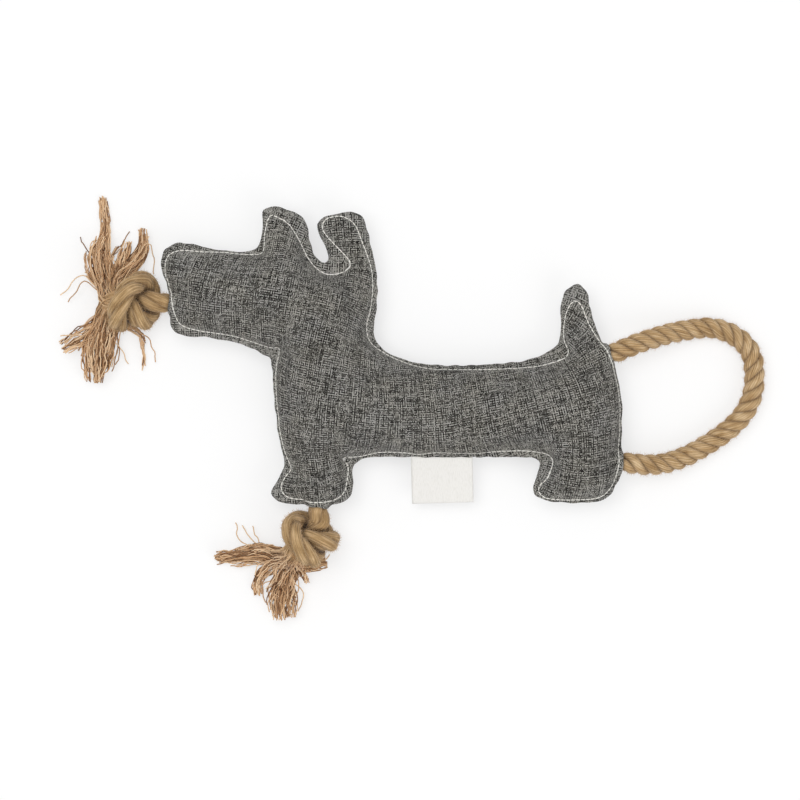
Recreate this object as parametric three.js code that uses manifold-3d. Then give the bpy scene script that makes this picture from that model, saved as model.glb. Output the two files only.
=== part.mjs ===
// A flat stuffed dog toy. Two cloth panels are sewn together round their edge over a fibre filling
// that holds a bellows squeaker. A rope loop leaves the rump, a knotted rope with a frayed end leaves
// the muzzle and another the front paw, and a folded tape label is sewn into the belly seam.
// Millimetres. The toy lies on its back panel, with +X towards the tail, +Y towards the ears, +Z up.
import * as THREE from "three";
import { mergeVertices } from "three/addons/utils/BufferGeometryUtils.js";
import Module from "manifold-3d";

const wasm = await Module();
wasm.setup();

// Silhouette of the cloth
const bodyLength = 277; // nose to rump
const bodyHeight = 180.6; // front paw to ear tip
const muzzleLength = 66; // nose to chest
const muzzleDepth = 51.5; // bridge to chin
const earHeight = 27.5; // bridge to ear tip
const frontEarWidth = 27;
const earGapWidth = 13;
const earGapDepth = 35.1; // ear tip to the bottom of the gap
const neckWidth = 62; // chest to nape
const legLength = 29.6; // belly to paw
const torsoDepth = 55.4; // back to belly
const frontLegWidth = 49.5;
const rearLegWidth = 54.2;
const tailHeight = 49; // back to tail tip
const tailWidth = 16.5;
const tailInset = 37.4; // rump to the front of the tail

// Cloth and filling
const clothThickness = 1;
const rimThickness = 1.6; // one panel and its turned-in allowance
const seamHeight = 17; // the seam lies this high above the ground
const seamGap = 0.3; // between the two panels
const stitchInset = 2.1; // edge to topstitch
const swellInset = 4; // edge to where the filling starts
const frontSwell = 0.72; // rise of the front panel for each millimetre of half width
const backSwell = 0.72;
const groundFlat = 0.5; // depth of the flat that the back panel rests on
const settlePower = 8; // how squarely the back panel settles on the ground
const threadRadius = 0.4;
const fillGap = 0.9; // filling to cloth
const pieceGap = 0.3; // between neighbouring pieces

// Rope
const ropeDiameter = 12;
const knotRopeDiameter = 10.8; // the same rope, drawn tight
const knotGap = 0.5; // between neighbouring turns of a knot
const mouthClearance = 0.4; // rope to its cloth mouth
const mouthLip = 0.6; // how far a mouth reaches past the edge
const bendReach = 3.4; // lip to the point where the rope bends
const ropeTuck = 18; // rope sewn inside the edge
const groundGap = 0.4; // lowest point of a rope above the ground
const tuftGroundGap = 1; // the same for a frayed tuft

// Label
const labelWidth = 37;
const labelLength = 28;
const labelTuck = 3.6;
const tapeThickness = 0.5;
const labelFoldGap = 1.4; // opening of the fold at the label's free end
const labelDroop = 12; // degrees below level

// Squeaker
const squeakerDiameter = 34;
const bellowsHeight = 12;
const bellowsFolds = 2;
const bellowsFoldDepth = 3.2;
const bellowsWall = 0.8;
const crownHeight = 4;
const crownWall = 1.2;
const baseThickness = 2.5;
const squeakerDrop = 6.5; // seam to the top of the squeaker's base
const cupDiameter = 10;
const cupWall = 1;
const cupLength = 6;
const cupFlange = 1.5; // how far its flange stands out
const flangeThickness = 1;
const shelfThickness = 1;
const reedLength = 6;
const reedWidth = 2;
const reedThickness = 0.25;
const reedRoot = 0.9; // length of the reed on its shelf
const reedClearance = 0.3;
const clampHeight = 1.2;
const clampWidth = 3.4;

// Landmarks that the silhouette is drawn from
const noseX = -bodyLength / 2;
const rumpX = bodyLength / 2;
const earTopY = bodyHeight / 2;
const pawY = -bodyHeight / 2;
const chestX = noseX + muzzleLength;
const napeX = chestX + neckWidth;
const bridgeY = earTopY - earHeight;
const chinY = bridgeY - muzzleDepth;
const bellyY = pawY + legLength;
const backY = bellyY + torsoDepth;
const tailTipY = backY + tailHeight;
const tailFrontX = rumpX - tailInset;
const tailRearX = tailFrontX + tailWidth;
const frontLegX = chestX + frontLegWidth;
const rearLegX = rumpX - rearLegWidth;
const earFrontX = chestX - 5;
const gapFrontX = earFrontX + frontEarWidth;
const gapRearX = gapFrontX + earGapWidth;
const gapY = earTopY - earGapDepth;
const torsoMiddleX = (frontLegX + rearLegX) / 2;
const torsoMiddleY = (backY + bellyY) / 2;

const nose = [
  [noseX, bridgeY - 7], [noseX + 1, bridgeY - 1], [noseX + 5.5, bridgeY + 3.8],
  [noseX + 13.5, bridgeY + 5.3], [noseX + 22.5, bridgeY + 3.5], [noseX + 34.5, bridgeY + 0.8],
  [noseX + 47.5, bridgeY - 0.1],
];
const frontEar = [
  [earFrontX - 3.3, bridgeY + 1.2], [earFrontX - 1, bridgeY + 7], [earFrontX + 0.4, bridgeY + 15],
  [earFrontX - 0.2, earTopY - 3.6], [earFrontX + 2.2, earTopY - 0.9], [earFrontX + 6.4, earTopY],
  [earFrontX + 12.4, earTopY - 1.5], [gapFrontX - 3.8, earTopY - 6], [gapFrontX - 0.8, earTopY - 9],
  [gapFrontX + 0.7, earTopY - 16.8], [gapFrontX + 2.8, gapY + 8.7], [gapFrontX + 6.4, gapY + 2.1],
  [gapFrontX + 10, gapY],
];
const rearEar = [
  [gapRearX, gapY + 2.5], [gapRearX - 2.4, gapY + 11.1], [gapRearX - 6.6, gapY + 19.5],
  [gapRearX - 7.8, gapY + 24.3], [gapRearX - 5.4, earTopY - 7.8], [gapRearX + 2.4, earTopY - 5.7],
  [gapRearX + 10.8, earTopY - 3.6], [napeX - 9.6, earTopY - 4.2], [napeX - 6, earTopY - 8.1],
  [napeX - 3.6, earTopY - 16.2], [napeX - 1.2, bridgeY + 0.5], [napeX + 1.2, bridgeY - 10.3],
  [napeX + 2.1, bridgeY - 22.3], [napeX + 1.5, bridgeY - 34.3], [napeX, backY + 23.6], [napeX, backY + 17],
];
const back = [
  [napeX + 3, backY + 11], [napeX + 10.8, backY + 6.2], [napeX + 19.2, backY + 2.6],
  [napeX + 33.6, backY + 0.2], [torsoMiddleX + 10, backY - 0.4], [tailFrontX - 36, backY + 0.8],
  [tailFrontX - 18, backY + 3.2], [tailFrontX - 6, backY + 8.6],
];
const tail = [
  [tailFrontX, backY + 14], [tailFrontX + 0.3, backY + 23.6], [tailFrontX + 0.6, tailTipY - 12.3],
  [tailFrontX + 2.4, tailTipY - 5.1], [tailFrontX + 7.2, tailTipY - 1.5], [tailFrontX + 10.2, tailTipY],
  [tailRearX - 2.1, tailTipY - 2.1], [tailRearX, tailTipY - 5.7], [tailRearX + 1.5, tailTipY - 14.7],
  [tailRearX + 5.7, backY + 20.6], [rumpX - 11.6, backY + 12.8],
];
const rump = [
  [rumpX - 7.4, backY + 6.2], [rumpX - 3.8, backY - 3.4], [rumpX - 0.8, backY - 18.4],
  [rumpX, backY - 30.4], [rumpX - 0.6, bellyY + 10], [rumpX - 0.4, bellyY - 3], [rumpX - 1.4, bellyY - 12.8],
];
const rearPaw = [
  [rumpX - 4.7, bellyY - 17.6], [rumpX - 6.8, pawY + 6.6], [rumpX - 11.6, pawY + 3.6],
  [rumpX - 19.4, pawY + 2.4], [rearLegX + 16.8, pawY + 2.4], [rearLegX + 7.8, pawY + 3.9],
  [rearLegX + 1.8, pawY + 6], [rearLegX, pawY + 9.6], [rearLegX + 1.8, pawY + 15.6],
  [rearLegX + 4.2, bellyY - 8], [rearLegX + 5.1, bellyY - 3.2],
];
const belly = [
  [rearLegX + 1.8, bellyY - 0.5], [rearLegX - 13.2, bellyY], [torsoMiddleX, bellyY],
  [frontLegX + 13.2, bellyY], [frontLegX + 4.1, bellyY - 1.1],
];
const frontPaw = [
  [frontLegX, bellyY - 5], [frontLegX - 0.3, bellyY - 12.8], [frontLegX, pawY + 10.8],
  [frontLegX - 1.2, pawY + 6], [frontLegX - 4.8, pawY + 3], [frontLegX - 12.6, pawY + 0.9],
  [frontLegX - 19.8, pawY], [chestX + 21.8, pawY + 1.2], [chestX + 11.6, pawY + 1.5],
  [chestX + 3.8, pawY + 3], [chestX + 0.2, pawY + 6.6], [chestX + 0.8, pawY + 10.8],
  [chestX + 5, bellyY - 12.2], [chestX + 8.6, bellyY - 5.6],
];
const chest = [
  [chestX + 7.7, bellyY + 0.4], [chestX + 5.3, bellyY + 10], [chestX + 3.2, bellyY + 25],
  [chestX + 1.7, backY - 15.4], [chestX + 0.8, backY - 0.4], [chestX - 0.3, backY + 4.4],
];
const chin = [
  [chestX - 5.2, chinY - 9.8], [chestX - 12.4, chinY - 6.2], [chestX - 20.8, chinY - 3.2],
  [chestX - 30.4, chinY - 1.4], [noseX + 26, chinY + 0.1], [noseX + 17.6, chinY + 0.4],
  [noseX + 9.2, chinY + 2.2], [noseX + 5.9, chinY + 5.8], [noseX + 5.6, chinY + 13],
  [noseX + 5.7, chinY + 22], [noseX + 4.4, chinY + 29.8], [noseX + 1.4, bridgeY - 14],
];
const silhouette = [
  nose, frontEar, rearEar, back, tail, rump, rearPaw, belly, frontPaw, chest, chin,
].flat();

const finishes = {
  cloth: new THREE.MeshStandardMaterial({ color: 0x67655f, roughness: 0.95, metalness: 0 }),
  thread: new THREE.MeshStandardMaterial({ color: 0xe0dccf, roughness: 0.7, metalness: 0 }),
  filling: new THREE.MeshStandardMaterial({ color: 0xf1f0ec, roughness: 1, metalness: 0 }),
  rope: new THREE.MeshStandardMaterial({ color: 0xbc9868, roughness: 0.9, metalness: 0 }),
  yarn: new THREE.MeshStandardMaterial({ color: 0xc08f5f, roughness: 0.9, metalness: 0 }),
  tape: new THREE.MeshStandardMaterial({ color: 0xefece6, roughness: 0.6, metalness: 0 }),
  squeaker: new THREE.MeshStandardMaterial({ color: 0xe4e7e4, roughness: 0.4, metalness: 0 }),
  reed: new THREE.MeshStandardMaterial({ color: 0xb9c4cc, roughness: 0.3, metalness: 0 }),
};

const toy = new THREE.Group();

function addPiece(name, geometry, material) {
  const mesh = new THREE.Mesh(geometry, material);
  mesh.name = name;
  toy.add(mesh);
}

// Solids and the way back to a geometry
function solidOf(geometry) {
  const bare = geometry.clone();
  bare.deleteAttribute("normal");
  bare.deleteAttribute("uv");
  const merged = mergeVertices(bare, 1e-4);
  return new wasm.Manifold(new wasm.Mesh({
    numProp: 3,
    vertProperties: new Float32Array(merged.attributes.position.array),
    triVerts: new Uint32Array(merged.index.array),
  }));
}

function geometryOf(solid) {
  const mesh = solid.getMesh();
  const geometry = new THREE.BufferGeometry();
  geometry.setAttribute("position", new THREE.BufferAttribute(new Float32Array(mesh.vertProperties), 3));
  geometry.setIndex(new THREE.BufferAttribute(new Uint32Array(mesh.triVerts), 1));
  geometry.computeVertexNormals();
  return geometry;
}

function largestBody(solid) {
  return solid.decompose().reduce((best, next) => (next.volume() > best.volume() ? next : best));
}

function box(low, high) {
  const size = high.map((value, axis) => value - low[axis]);
  const geometry = new THREE.BoxGeometry(...size);
  return geometry.translate(...low.map((value, axis) => value + size[axis] / 2));
}

// The cloth edge as a fine polyline, the distance to it and the test for being inside it
const edgeCurve = new THREE.CatmullRomCurve3(
  silhouette.map(([x, y]) => new THREE.Vector3(x, y, 0)), true, "centripetal",
);
const edgeStep = 2;
const edge = edgeCurve.getSpacedPoints(Math.round(edgeCurve.getLength() / edgeStep)).slice(1);

function edgeDistance(x, y) {
  let least = Infinity;
  for (let i = 0, j = edge.length - 1; i < edge.length; j = i, i += 1) {
    const runX = edge[i].x - edge[j].x;
    const runY = edge[i].y - edge[j].y;
    const along = ((x - edge[j].x) * runX + (y - edge[j].y) * runY) / (runX ** 2 + runY ** 2);
    const share = Math.min(1, Math.max(0, along));
    least = Math.min(least, Math.hypot(x - edge[j].x - share * runX, y - edge[j].y - share * runY));
  }
  return least;
}

function insideEdge(x, y) {
  let inside = false;
  for (let i = 0, j = edge.length - 1; i < edge.length; j = i, i += 1) {
    const crosses = edge[i].y > y !== edge[j].y > y;
    const crossX = ((edge[j].x - edge[i].x) * (y - edge[i].y)) / (edge[j].y - edge[i].y) + edge[i].x;
    if (crosses && x < crossX) inside = !inside;
  }
  return inside;
}

// The swell of stuffed cloth: a membrane held at the stitching and blown up evenly.
// Its relaxed height u solves a constant curvature on a square grid, and sqrt(2u) is the half width
// of a long straight limb.
const swellStep = 3;
const swellColumns = Math.ceil(bodyLength / swellStep) + 5;
const swellRows = Math.ceil(bodyHeight / swellStep) + 5;
const swellLeft = noseX - 2 * swellStep;
const swellBottom = pawY - 2 * swellStep;
const swell = new Float64Array(swellColumns * swellRows);
const stuffedCells = [];
for (let row = 1; row < swellRows - 1; row += 1) {
  for (let column = 1; column < swellColumns - 1; column += 1) {
    const x = swellLeft + column * swellStep;
    const y = swellBottom + row * swellStep;
    if (insideEdge(x, y) && edgeDistance(x, y) > swellInset) stuffedCells.push(row * swellColumns + column);
  }
}
const relaxationRounds = 400;
const overRelaxation = 1.85;
for (let round = 0; round < relaxationRounds; round += 1) {
  for (const cell of stuffedCells) {
    const beside = swell[cell - 1] + swell[cell + 1];
    const aboveBelow = swell[cell - swellColumns] + swell[cell + swellColumns];
    swell[cell] += overRelaxation * ((beside + aboveBelow + swellStep ** 2) / 4 - swell[cell]);
  }
}

function swellAt(x, y) {
  if (edgeDistance(x, y) <= swellInset + 0.1) return 0;
  const column = (x - swellLeft) / swellStep;
  const row = (y - swellBottom) / swellStep;
  const cell = Math.floor(row) * swellColumns + Math.floor(column);
  const acrossX = column - Math.floor(column);
  const acrossY = row - Math.floor(row);
  const low = swell[cell] * (1 - acrossX) + swell[cell + 1] * acrossX;
  const high = swell[cell + swellColumns] * (1 - acrossX) + swell[cell + swellColumns + 1] * acrossX;
  return Math.sqrt(2 * Math.max(0, low * (1 - acrossY) + high * acrossY));
}

function frontRise(x, y) {
  return rimThickness + frontSwell * swellAt(x, y);
}

// The back panel swells alike, settles squarely on the ground and is flat where it lies
function backDrop(x, y) {
  const deepest = seamHeight - rimThickness + groundFlat;
  const free = backSwell * swellAt(x, y);
  const settled = free / (1 + (free / deepest) ** settlePower) ** (1 / settlePower);
  return Math.min(seamHeight, rimThickness + settled);
}

// A net of triangles over the silhouette: the edge, two rings that follow it, and points between
function delaunay(points) {
  const far = 20 * bodyLength;
  const all = [...points, { x: -far, y: -far }, { x: far, y: -far }, { x: 0, y: far }];
  const faceOf = (a, b, c) => {
    const p = all[a];
    const q = all[b];
    const r = all[c];
    const twice = 2 * (p.x * (q.y - r.y) + q.x * (r.y - p.y) + r.x * (p.y - q.y));
    const pp = p.x ** 2 + p.y ** 2;
    const qq = q.x ** 2 + q.y ** 2;
    const rr = r.x ** 2 + r.y ** 2;
    const x = (pp * (q.y - r.y) + qq * (r.y - p.y) + rr * (p.y - q.y)) / twice;
    const y = (pp * (r.x - q.x) + qq * (p.x - r.x) + rr * (q.x - p.x)) / twice;
    return { corners: [a, b, c], x, y, reach: Math.hypot(p.x - x, p.y - y) };
  };
  let faces = [faceOf(points.length, points.length + 1, points.length + 2)];
  points.forEach((point, index) => {
    const rim = new Map();
    faces = faces.filter((face) => {
      if (Math.hypot(point.x - face.x, point.y - face.y) > face.reach) return true;
      face.corners.forEach((from, side) => {
        const to = face.corners[(side + 1) % 3];
        if (!rim.delete(`${to} ${from}`)) rim.set(`${from} ${to}`, [from, to]);
      });
      return false;
    });
    for (const [from, to] of rim.values()) faces.push(faceOf(from, to, index));
  });
  return faces.map((face) => face.corners).filter((corners) => Math.max(...corners) < points.length);
}

// Points of the edge moved inwards, without those that fold over one another
function ring(inset) {
  const kept = [];
  edge.forEach((point, index) => {
    const before = edge[(index + edge.length - 1) % edge.length];
    const after = edge[(index + 1) % edge.length];
    const run = Math.hypot(after.x - before.x, after.y - before.y);
    const x = point.x + (inset * (after.y - before.y)) / run;
    const y = point.y - (inset * (after.x - before.x)) / run;
    const apart = kept.every((other) => Math.hypot(other.x - x, other.y - y) > edgeStep / 2);
    if (apart && edgeDistance(x, y) > inset - 0.05) kept.push({ x, y });
  });
  return kept;
}

// Leaves out points of a line that lie close to the chord between those kept
function thin(points, tolerance, longest) {
  const kept = [points[0]];
  let first = 0;
  for (let last = 2; last < points.length; last += 1) {
    const from = points[first];
    const runX = points[last].x - from.x;
    const runY = points[last].y - from.y;
    const run = Math.hypot(runX, runY);
    const strays = points.slice(first + 1, last).some(
      ({ x, y }) => Math.abs((x - from.x) * runY - (y - from.y) * runX) / run > tolerance,
    );
    if (strays || run > longest) {
      first = last - 1;
      kept.push(points[first]);
    }
  }
  return kept;
}

const netChord = 7.6; // longest step along the edge and the rings
const netMiddle = 16; // spacing of the points between them
const netTolerance = 0.8;
const netFlatness = 0.05; // faces flatter than this are joined
const innerRing = swellInset + 5;
const netPoints = thin(edge, netTolerance, netChord);
const edgeCount = netPoints.length;
netPoints.push(...thin(ring(swellInset), netTolerance, netChord));
netPoints.push(...thin(ring(innerRing), 1.5 * netTolerance, 1.3 * netChord));
for (let y = pawY, row = 0; y < earTopY; y += 0.866 * netMiddle, row += 1) {
  for (let x = noseX + (row % 2) * 0.5 * netMiddle; x < rumpX; x += netMiddle) {
    const apart = netPoints.every((other) => Math.hypot(other.x - x, other.y - y) > 0.6 * netMiddle);
    if (apart && insideEdge(x, y) && edgeDistance(x, y) > innerRing + 2) netPoints.push({ x, y });
  }
}
const net = delaunay(netPoints).filter((corners) => {
  const x = corners.reduce((sum, corner) => sum + netPoints[corner].x / 3, 0);
  const y = corners.reduce((sum, corner) => sum + netPoints[corner].y / 3, 0);
  return insideEdge(x, y);
});
const netRise = netPoints.map(({ x, y }, index) => (index < edgeCount ? rimThickness : frontRise(x, y)));
const netDrop = netPoints.map(({ x, y }, index) => (index < edgeCount ? rimThickness : backDrop(x, y)));

// A closed slab over the net between two heights for each point
function slab(tops, bottoms) {
  const count = netPoints.length;
  const positions = [];
  for (const heights of [tops, bottoms]) {
    netPoints.forEach(({ x, y }, index) => positions.push(x, y, heights[index]));
  }
  const triangles = [];
  const rim = new Map();
  for (const [a, b, c] of net) {
    triangles.push(a, b, c, a + count, c + count, b + count);
    for (const [from, to] of [[a, b], [b, c], [c, a]]) {
      if (!rim.delete(`${to} ${from}`)) rim.set(`${from} ${to}`, [from, to]);
    }
  }
  for (const [from, to] of rim.values()) {
    triangles.push(to, from, from + count, to, from + count, to + count);
  }
  const geometry = new THREE.BufferGeometry();
  geometry.setAttribute("position", new THREE.Float32BufferAttribute(positions, 3));
  geometry.setIndex(triangles);
  return solidOf(geometry);
}

// Where each rope leaves the edge: the first crossing of a line from a point inside the cloth
function mouthAt(x, y, degrees) {
  const out = new THREE.Vector3(Math.cos(THREE.MathUtils.degToRad(degrees)),
    Math.sin(THREE.MathUtils.degToRad(degrees)), 0);
  let reach = Infinity;
  edge.forEach((point, index) => {
    const next = edge[(index + 1) % edge.length];
    const cross = out.x * (next.y - point.y) - out.y * (next.x - point.x);
    const along = ((point.x - x) * (next.y - point.y) - (point.y - y) * (next.x - point.x)) / cross;
    const share = ((point.x - x) * out.y - (point.y - y) * out.x) / cross;
    if (along > 0 && share >= 0 && share < 1) reach = Math.min(reach, along);
  });
  const rim = new THREE.Vector3(x, y, seamHeight).addScaledVector(out, reach);
  const bend = rim.clone().addScaledVector(out, mouthLip + bendReach);
  return { rim, out, bend, angle: THREE.MathUtils.degToRad(degrees) };
}

const mouths = {
  muzzle: mouthAt(noseX + 30, chinY + 19, 176),
  front_paw: mouthAt(frontLegX - 18, bellyY - 5, -98),
  tail: mouthAt(rumpX - 25, backY + 0.6, 18),
  rear_paw: mouthAt(rumpX - 25, bellyY - 2.4, -2),
};

// A round rod along a mouth's line, measured outwards from the cloth edge
function mouthRod({ rim, out, angle }, radius, from, to, sides) {
  const middle = rim.clone().addScaledVector(out, (from + to) / 2);
  const rod = new THREE.CylinderGeometry(radius, radius, to - from, sides);
  return rod.rotateZ(angle - Math.PI / 2).translate(middle.x, middle.y, middle.z);
}

const ropeRadius = ropeDiameter / 2;
const mouthRadius = ropeRadius + mouthClearance;
const sleeveSides = 20;
const sleeveDepth = 12; // how far a mouth's round sleeve reaches inside the edge
const wide = 2 * bodyLength;
const aboveSeam = solidOf(box([-wide, -wide, seamHeight + seamGap / 2], [wide, wide, wide]));
const belowSeam = solidOf(box([-wide, -wide, -wide], [wide, wide, seamHeight - seamGap / 2]));

const labelThickness = 2 * tapeThickness + pieceGap;
const labelX = torsoMiddleX - 0.5;
const slotHalfWidth = labelWidth / 2 + pieceGap;
const slotHalfHeight = labelThickness / 2 + pieceGap;
const labelSlot = solidOf(box(
  [labelX - slotHalfWidth, bellyY - 2, seamHeight - slotHalfHeight],
  [labelX + slotHalfWidth, bellyY + labelTuck + pieceGap, seamHeight + slotHalfHeight],
));

// Cloth panels: a swollen shell with a flat rim, round mouths for the ropes and a slot for the label
function panel(side, heights, keep) {
  const toHeight = (rise) => seamHeight + side * rise;
  const shell = (outer, inner) => (side > 0 ? slab(outer, inner) : slab(inner, outer));
  const flat = netPoints.map(() => seamHeight + (side * seamGap) / 2);
  const deep = netPoints.map(() => seamHeight - side * 6);
  const hollow = netPoints.map((_, index) => {
    const swollen = heights[index] > rimThickness;
    return swollen ? toHeight(heights[index] - clothThickness) : seamHeight - side * 2;
  });
  let cloth = shell(heights.map(toHeight), flat);
  for (const mouth of Object.values(mouths)) {
    const sleeve = mouthRod(mouth, mouthRadius + clothThickness, -sleeveDepth, mouthLip, sleeveSides);
    cloth = cloth.add(solidOf(sleeve).intersect(keep));
  }
  cloth = cloth.subtract(shell(hollow, deep)).subtract(labelSlot);
  for (const mouth of Object.values(mouths)) {
    cloth = cloth.subtract(solidOf(mouthRod(mouth, mouthRadius, -ropeTuck - 2, mouthLip + 2, sleeveSides)));
  }
  return largestBody(cloth).asOriginal().simplify(netFlatness);
}

addPiece("front_panel", geometryOf(panel(1, netRise, aboveSeam)), finishes.cloth);
addPiece("back_panel", geometryOf(panel(-1, netDrop, belowSeam)), finishes.cloth);

// Contour topstitch: a thread that follows the edge and climbs over the rope mouths
const threadChord = 12;
const threadTolerance = 0.4;
const threadSides = 3;

function threadPath(side) {
  const sleeveRadius = mouthRadius + clothThickness + pieceGap;
  const offMouth = ({ x, y }, { rim, out }) => {
    const along = (x - rim.x) * out.x + (y - rim.y) * out.y;
    const across = Math.abs((x - rim.x) * out.y - (y - rim.y) * out.x);
    return Math.abs(along) < sleeveDepth ? across : Infinity;
  };
  const offset = (point) => Math.min(...Object.values(mouths).map((mouth) => offMouth(point, mouth)));
  const stitches = ring(stitchInset);
  const straight = thin(stitches, threadTolerance, threadChord);
  const climbing = stitches.filter((point) => offset(point) < sleeveRadius + edgeStep);
  const kept = stitches.filter((point) => straight.includes(point) || climbing.includes(point));
  return kept.map((point) => {
    const climb = Math.sqrt(Math.max(0, (sleeveRadius + edgeStep / 2) ** 2 - offset(point) ** 2));
    const rise = Math.max(rimThickness, climb) + pieceGap + threadRadius;
    return new THREE.Vector3(point.x, point.y, seamHeight + side * rise);
  });
}

function closedThread(path, sides) {
  const positions = [];
  const triangles = [];
  path.forEach((point, index) => {
    const before = path[(index + path.length - 1) % path.length];
    const after = path[(index + 1) % path.length];
    const along = after.clone().sub(before).normalize();
    const across = new THREE.Vector3(along.y, -along.x, 0).normalize();
    const up = new THREE.Vector3().crossVectors(across, along);
    for (let side = 0; side < sides; side += 1) {
      const turn = (2 * Math.PI * (side + 0.5)) / sides;
      const spot = point.clone().addScaledVector(across, threadRadius * Math.cos(turn));
      positions.push(...spot.addScaledVector(up, threadRadius * Math.sin(turn)).toArray());
      const here = index * sides + side;
      const beside = index * sides + ((side + 1) % sides);
      const ahead = ((index + 1) % path.length) * sides;
      triangles.push(here, ahead + side, beside, beside, ahead + side, ahead + ((side + 1) % sides));
    }
  });
  const geometry = new THREE.BufferGeometry();
  geometry.setAttribute("position", new THREE.Float32BufferAttribute(positions, 3));
  geometry.setIndex(triangles);
  geometry.computeVertexNormals();
  return geometry;
}

addPiece("front_topstitch", closedThread(threadPath(1), threadSides), finishes.thread);
addPiece("back_topstitch", closedThread(threadPath(-1), threadSides), finishes.thread);

// Filling: the space inside the cloth, parted into the lobes that it is packed in
function fillingHalf(side, heights, keep) {
  const tops = netPoints.map((_, index) => {
    const swollen = heights[index] > rimThickness;
    return seamHeight + side * (swollen ? heights[index] - clothThickness - fillGap : -2);
  });
  const deep = netPoints.map(() => seamHeight - side * 6);
  let half = (side > 0 ? slab(tops, deep) : slab(deep, tops)).intersect(keep);
  for (const mouth of Object.values(mouths)) {
    half = half.subtract(solidOf(mouthRod(mouth, mouthRadius, -ropeTuck - pieceGap, mouthLip, sleeveSides)));
  }
  return half;
}

// Everything on one side of an upright plane, in the direction given, beyond a gap
function beyond(x, y, degrees, gap = pieceGap / 2) {
  const block = box([gap, -wide, -wide], [2 * wide, wide, wide]);
  return solidOf(block.rotateZ(THREE.MathUtils.degToRad(degrees)).translate(x, y, 0));
}

const toSeam = solidOf(box([-wide, -wide, seamHeight], [wide, wide, wide]));
const fromSeam = solidOf(box([-wide, -wide, -wide], [wide, wide, seamHeight]));
const filling = fillingHalf(1, netRise, toSeam).add(fillingHalf(-1, netDrop, fromSeam));
const throat = new THREE.Vector2(chestX, backY + 4.4);
const nape = new THREE.Vector2(napeX, backY + 17);
const neckAngle = THREE.MathUtils.radToDeg(nape.clone().sub(throat).angle());
const betweenX = (napeX + tailFrontX) / 2; // parts the head from the tail
const earRootX = gapFrontX + 6;
const frontEarRootY = bridgeY + 2;
const rearEarRootY = gapY + 3;
const tailRootY = backY + 14;

function frontEarSpace(gap) {
  return beyond(0, frontEarRootY, 90, gap).intersect(beyond(earRootX, 0, 180, 0));
}

function rearEarSpace(gap) {
  return beyond(0, rearEarRootY, 90, gap)
    .intersect(beyond(earRootX, 0, 0, 0))
    .intersect(beyond(betweenX, 0, 180, 0));
}

function tailSpace(gap) {
  return beyond(0, tailRootY, 90, gap).intersect(beyond(betweenX, 0, 0, 0));
}

const legSpace = beyond(0, bellyY, -90);
const frontSpace = beyond(torsoMiddleX, 0, 180);
const rearSpace = beyond(torsoMiddleX, 0, 0);
const headFilling = filling
  .intersect(beyond(throat.x, throat.y, neckAngle + 90))
  .intersect(beyond(betweenX, 0, 180))
  .subtract(frontEarSpace(-pieceGap / 2))
  .subtract(rearEarSpace(-pieceGap / 2));

const squeakerRadius = squeakerDiameter / 2;
const baseTop = seamHeight - squeakerDrop;
const bellowsFoot = baseTop + pieceGap;
const crownFoot = bellowsFoot + bellowsHeight + pieceGap;
const flangeTop = baseTop - baseThickness - pieceGap;
const cupRadius = cupDiameter / 2;
const latheSides = 28;

// A turned solid on the squeaker's axis, from its outline as radius and height
function turned(outline, sides = latheSides) {
  const points = outline.map(([radius, height]) => new THREE.Vector2(radius, height));
  const onAxis = points[0].x === 0 && points.at(-1).x === 0;
  if (!onAxis) points.push(points[0].clone());
  const geometry = new THREE.LatheGeometry(points, sides).rotateX(Math.PI / 2);
  return geometry.translate(torsoMiddleX, torsoMiddleY, 0);
}

function rod(radius, from, to) {
  return solidOf(turned([[0, from], [radius, from], [radius, to], [0, to]]));
}

const nestTop = crownFoot + crownHeight + pieceGap;
const nest = rod(squeakerRadius + pieceGap, baseTop - baseThickness - pieceGap, nestTop)
  .add(rod(cupRadius + cupFlange + pieceGap, flangeTop - flangeThickness - pieceGap, baseTop));

function torsoFilling(side, heights, keep) {
  const half = fillingHalf(side, heights, keep)
    .intersect(beyond(throat.x, throat.y, neckAngle - 90))
    .intersect(beyond(0, bellyY, 90))
    .subtract(tailSpace(-pieceGap / 2));
  return half.subtract(nest);
}

const lobes = {
  head_filling: headFilling,
  front_ear_filling: filling.intersect(frontEarSpace(pieceGap / 2)),
  rear_ear_filling: filling.intersect(rearEarSpace(pieceGap / 2)),
  torso_filling_upper: torsoFilling(1, netRise, aboveSeam),
  torso_filling_lower: torsoFilling(-1, netDrop, belowSeam),
  front_leg_filling: filling.intersect(legSpace).intersect(frontSpace),
  rear_leg_filling: filling.intersect(legSpace).intersect(rearSpace),
  tail_filling: filling.intersect(tailSpace(pieceGap / 2)),
};
const fillingFlatness = 0.06;
for (const [name, lobe] of Object.entries(lobes)) {
  addPiece(name, geometryOf(largestBody(lobe).asOriginal().simplify(fillingFlatness)), finishes.filling);
}

// Squeaker: a base, folded bellows and a domed crown, with a reed in a cup through the base
const cupBore = cupRadius + pieceGap;
addPiece("squeaker_base", turned([
  [cupBore, baseTop - baseThickness], [squeakerRadius - 1, baseTop - baseThickness],
  [squeakerRadius, baseTop - baseThickness + 1], [squeakerRadius, baseTop], [cupBore, baseTop],
]), finishes.squeaker);

function bellowsOutline() {
  const levels = 2 * bellowsFolds;
  const wall = Array.from({ length: levels + 1 }, (_, level) => {
    const radius = squeakerRadius - (level % 2 ? 0 : bellowsFoldDepth);
    return [radius, bellowsFoot + (bellowsHeight * level) / levels];
  });
  const inner = wall.map(([radius, height]) => [radius - bellowsWall * Math.SQRT2, height]).reverse();
  return [...wall, ...inner];
}

addPiece("squeaker_bellows", turned(bellowsOutline()), finishes.squeaker);

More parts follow.
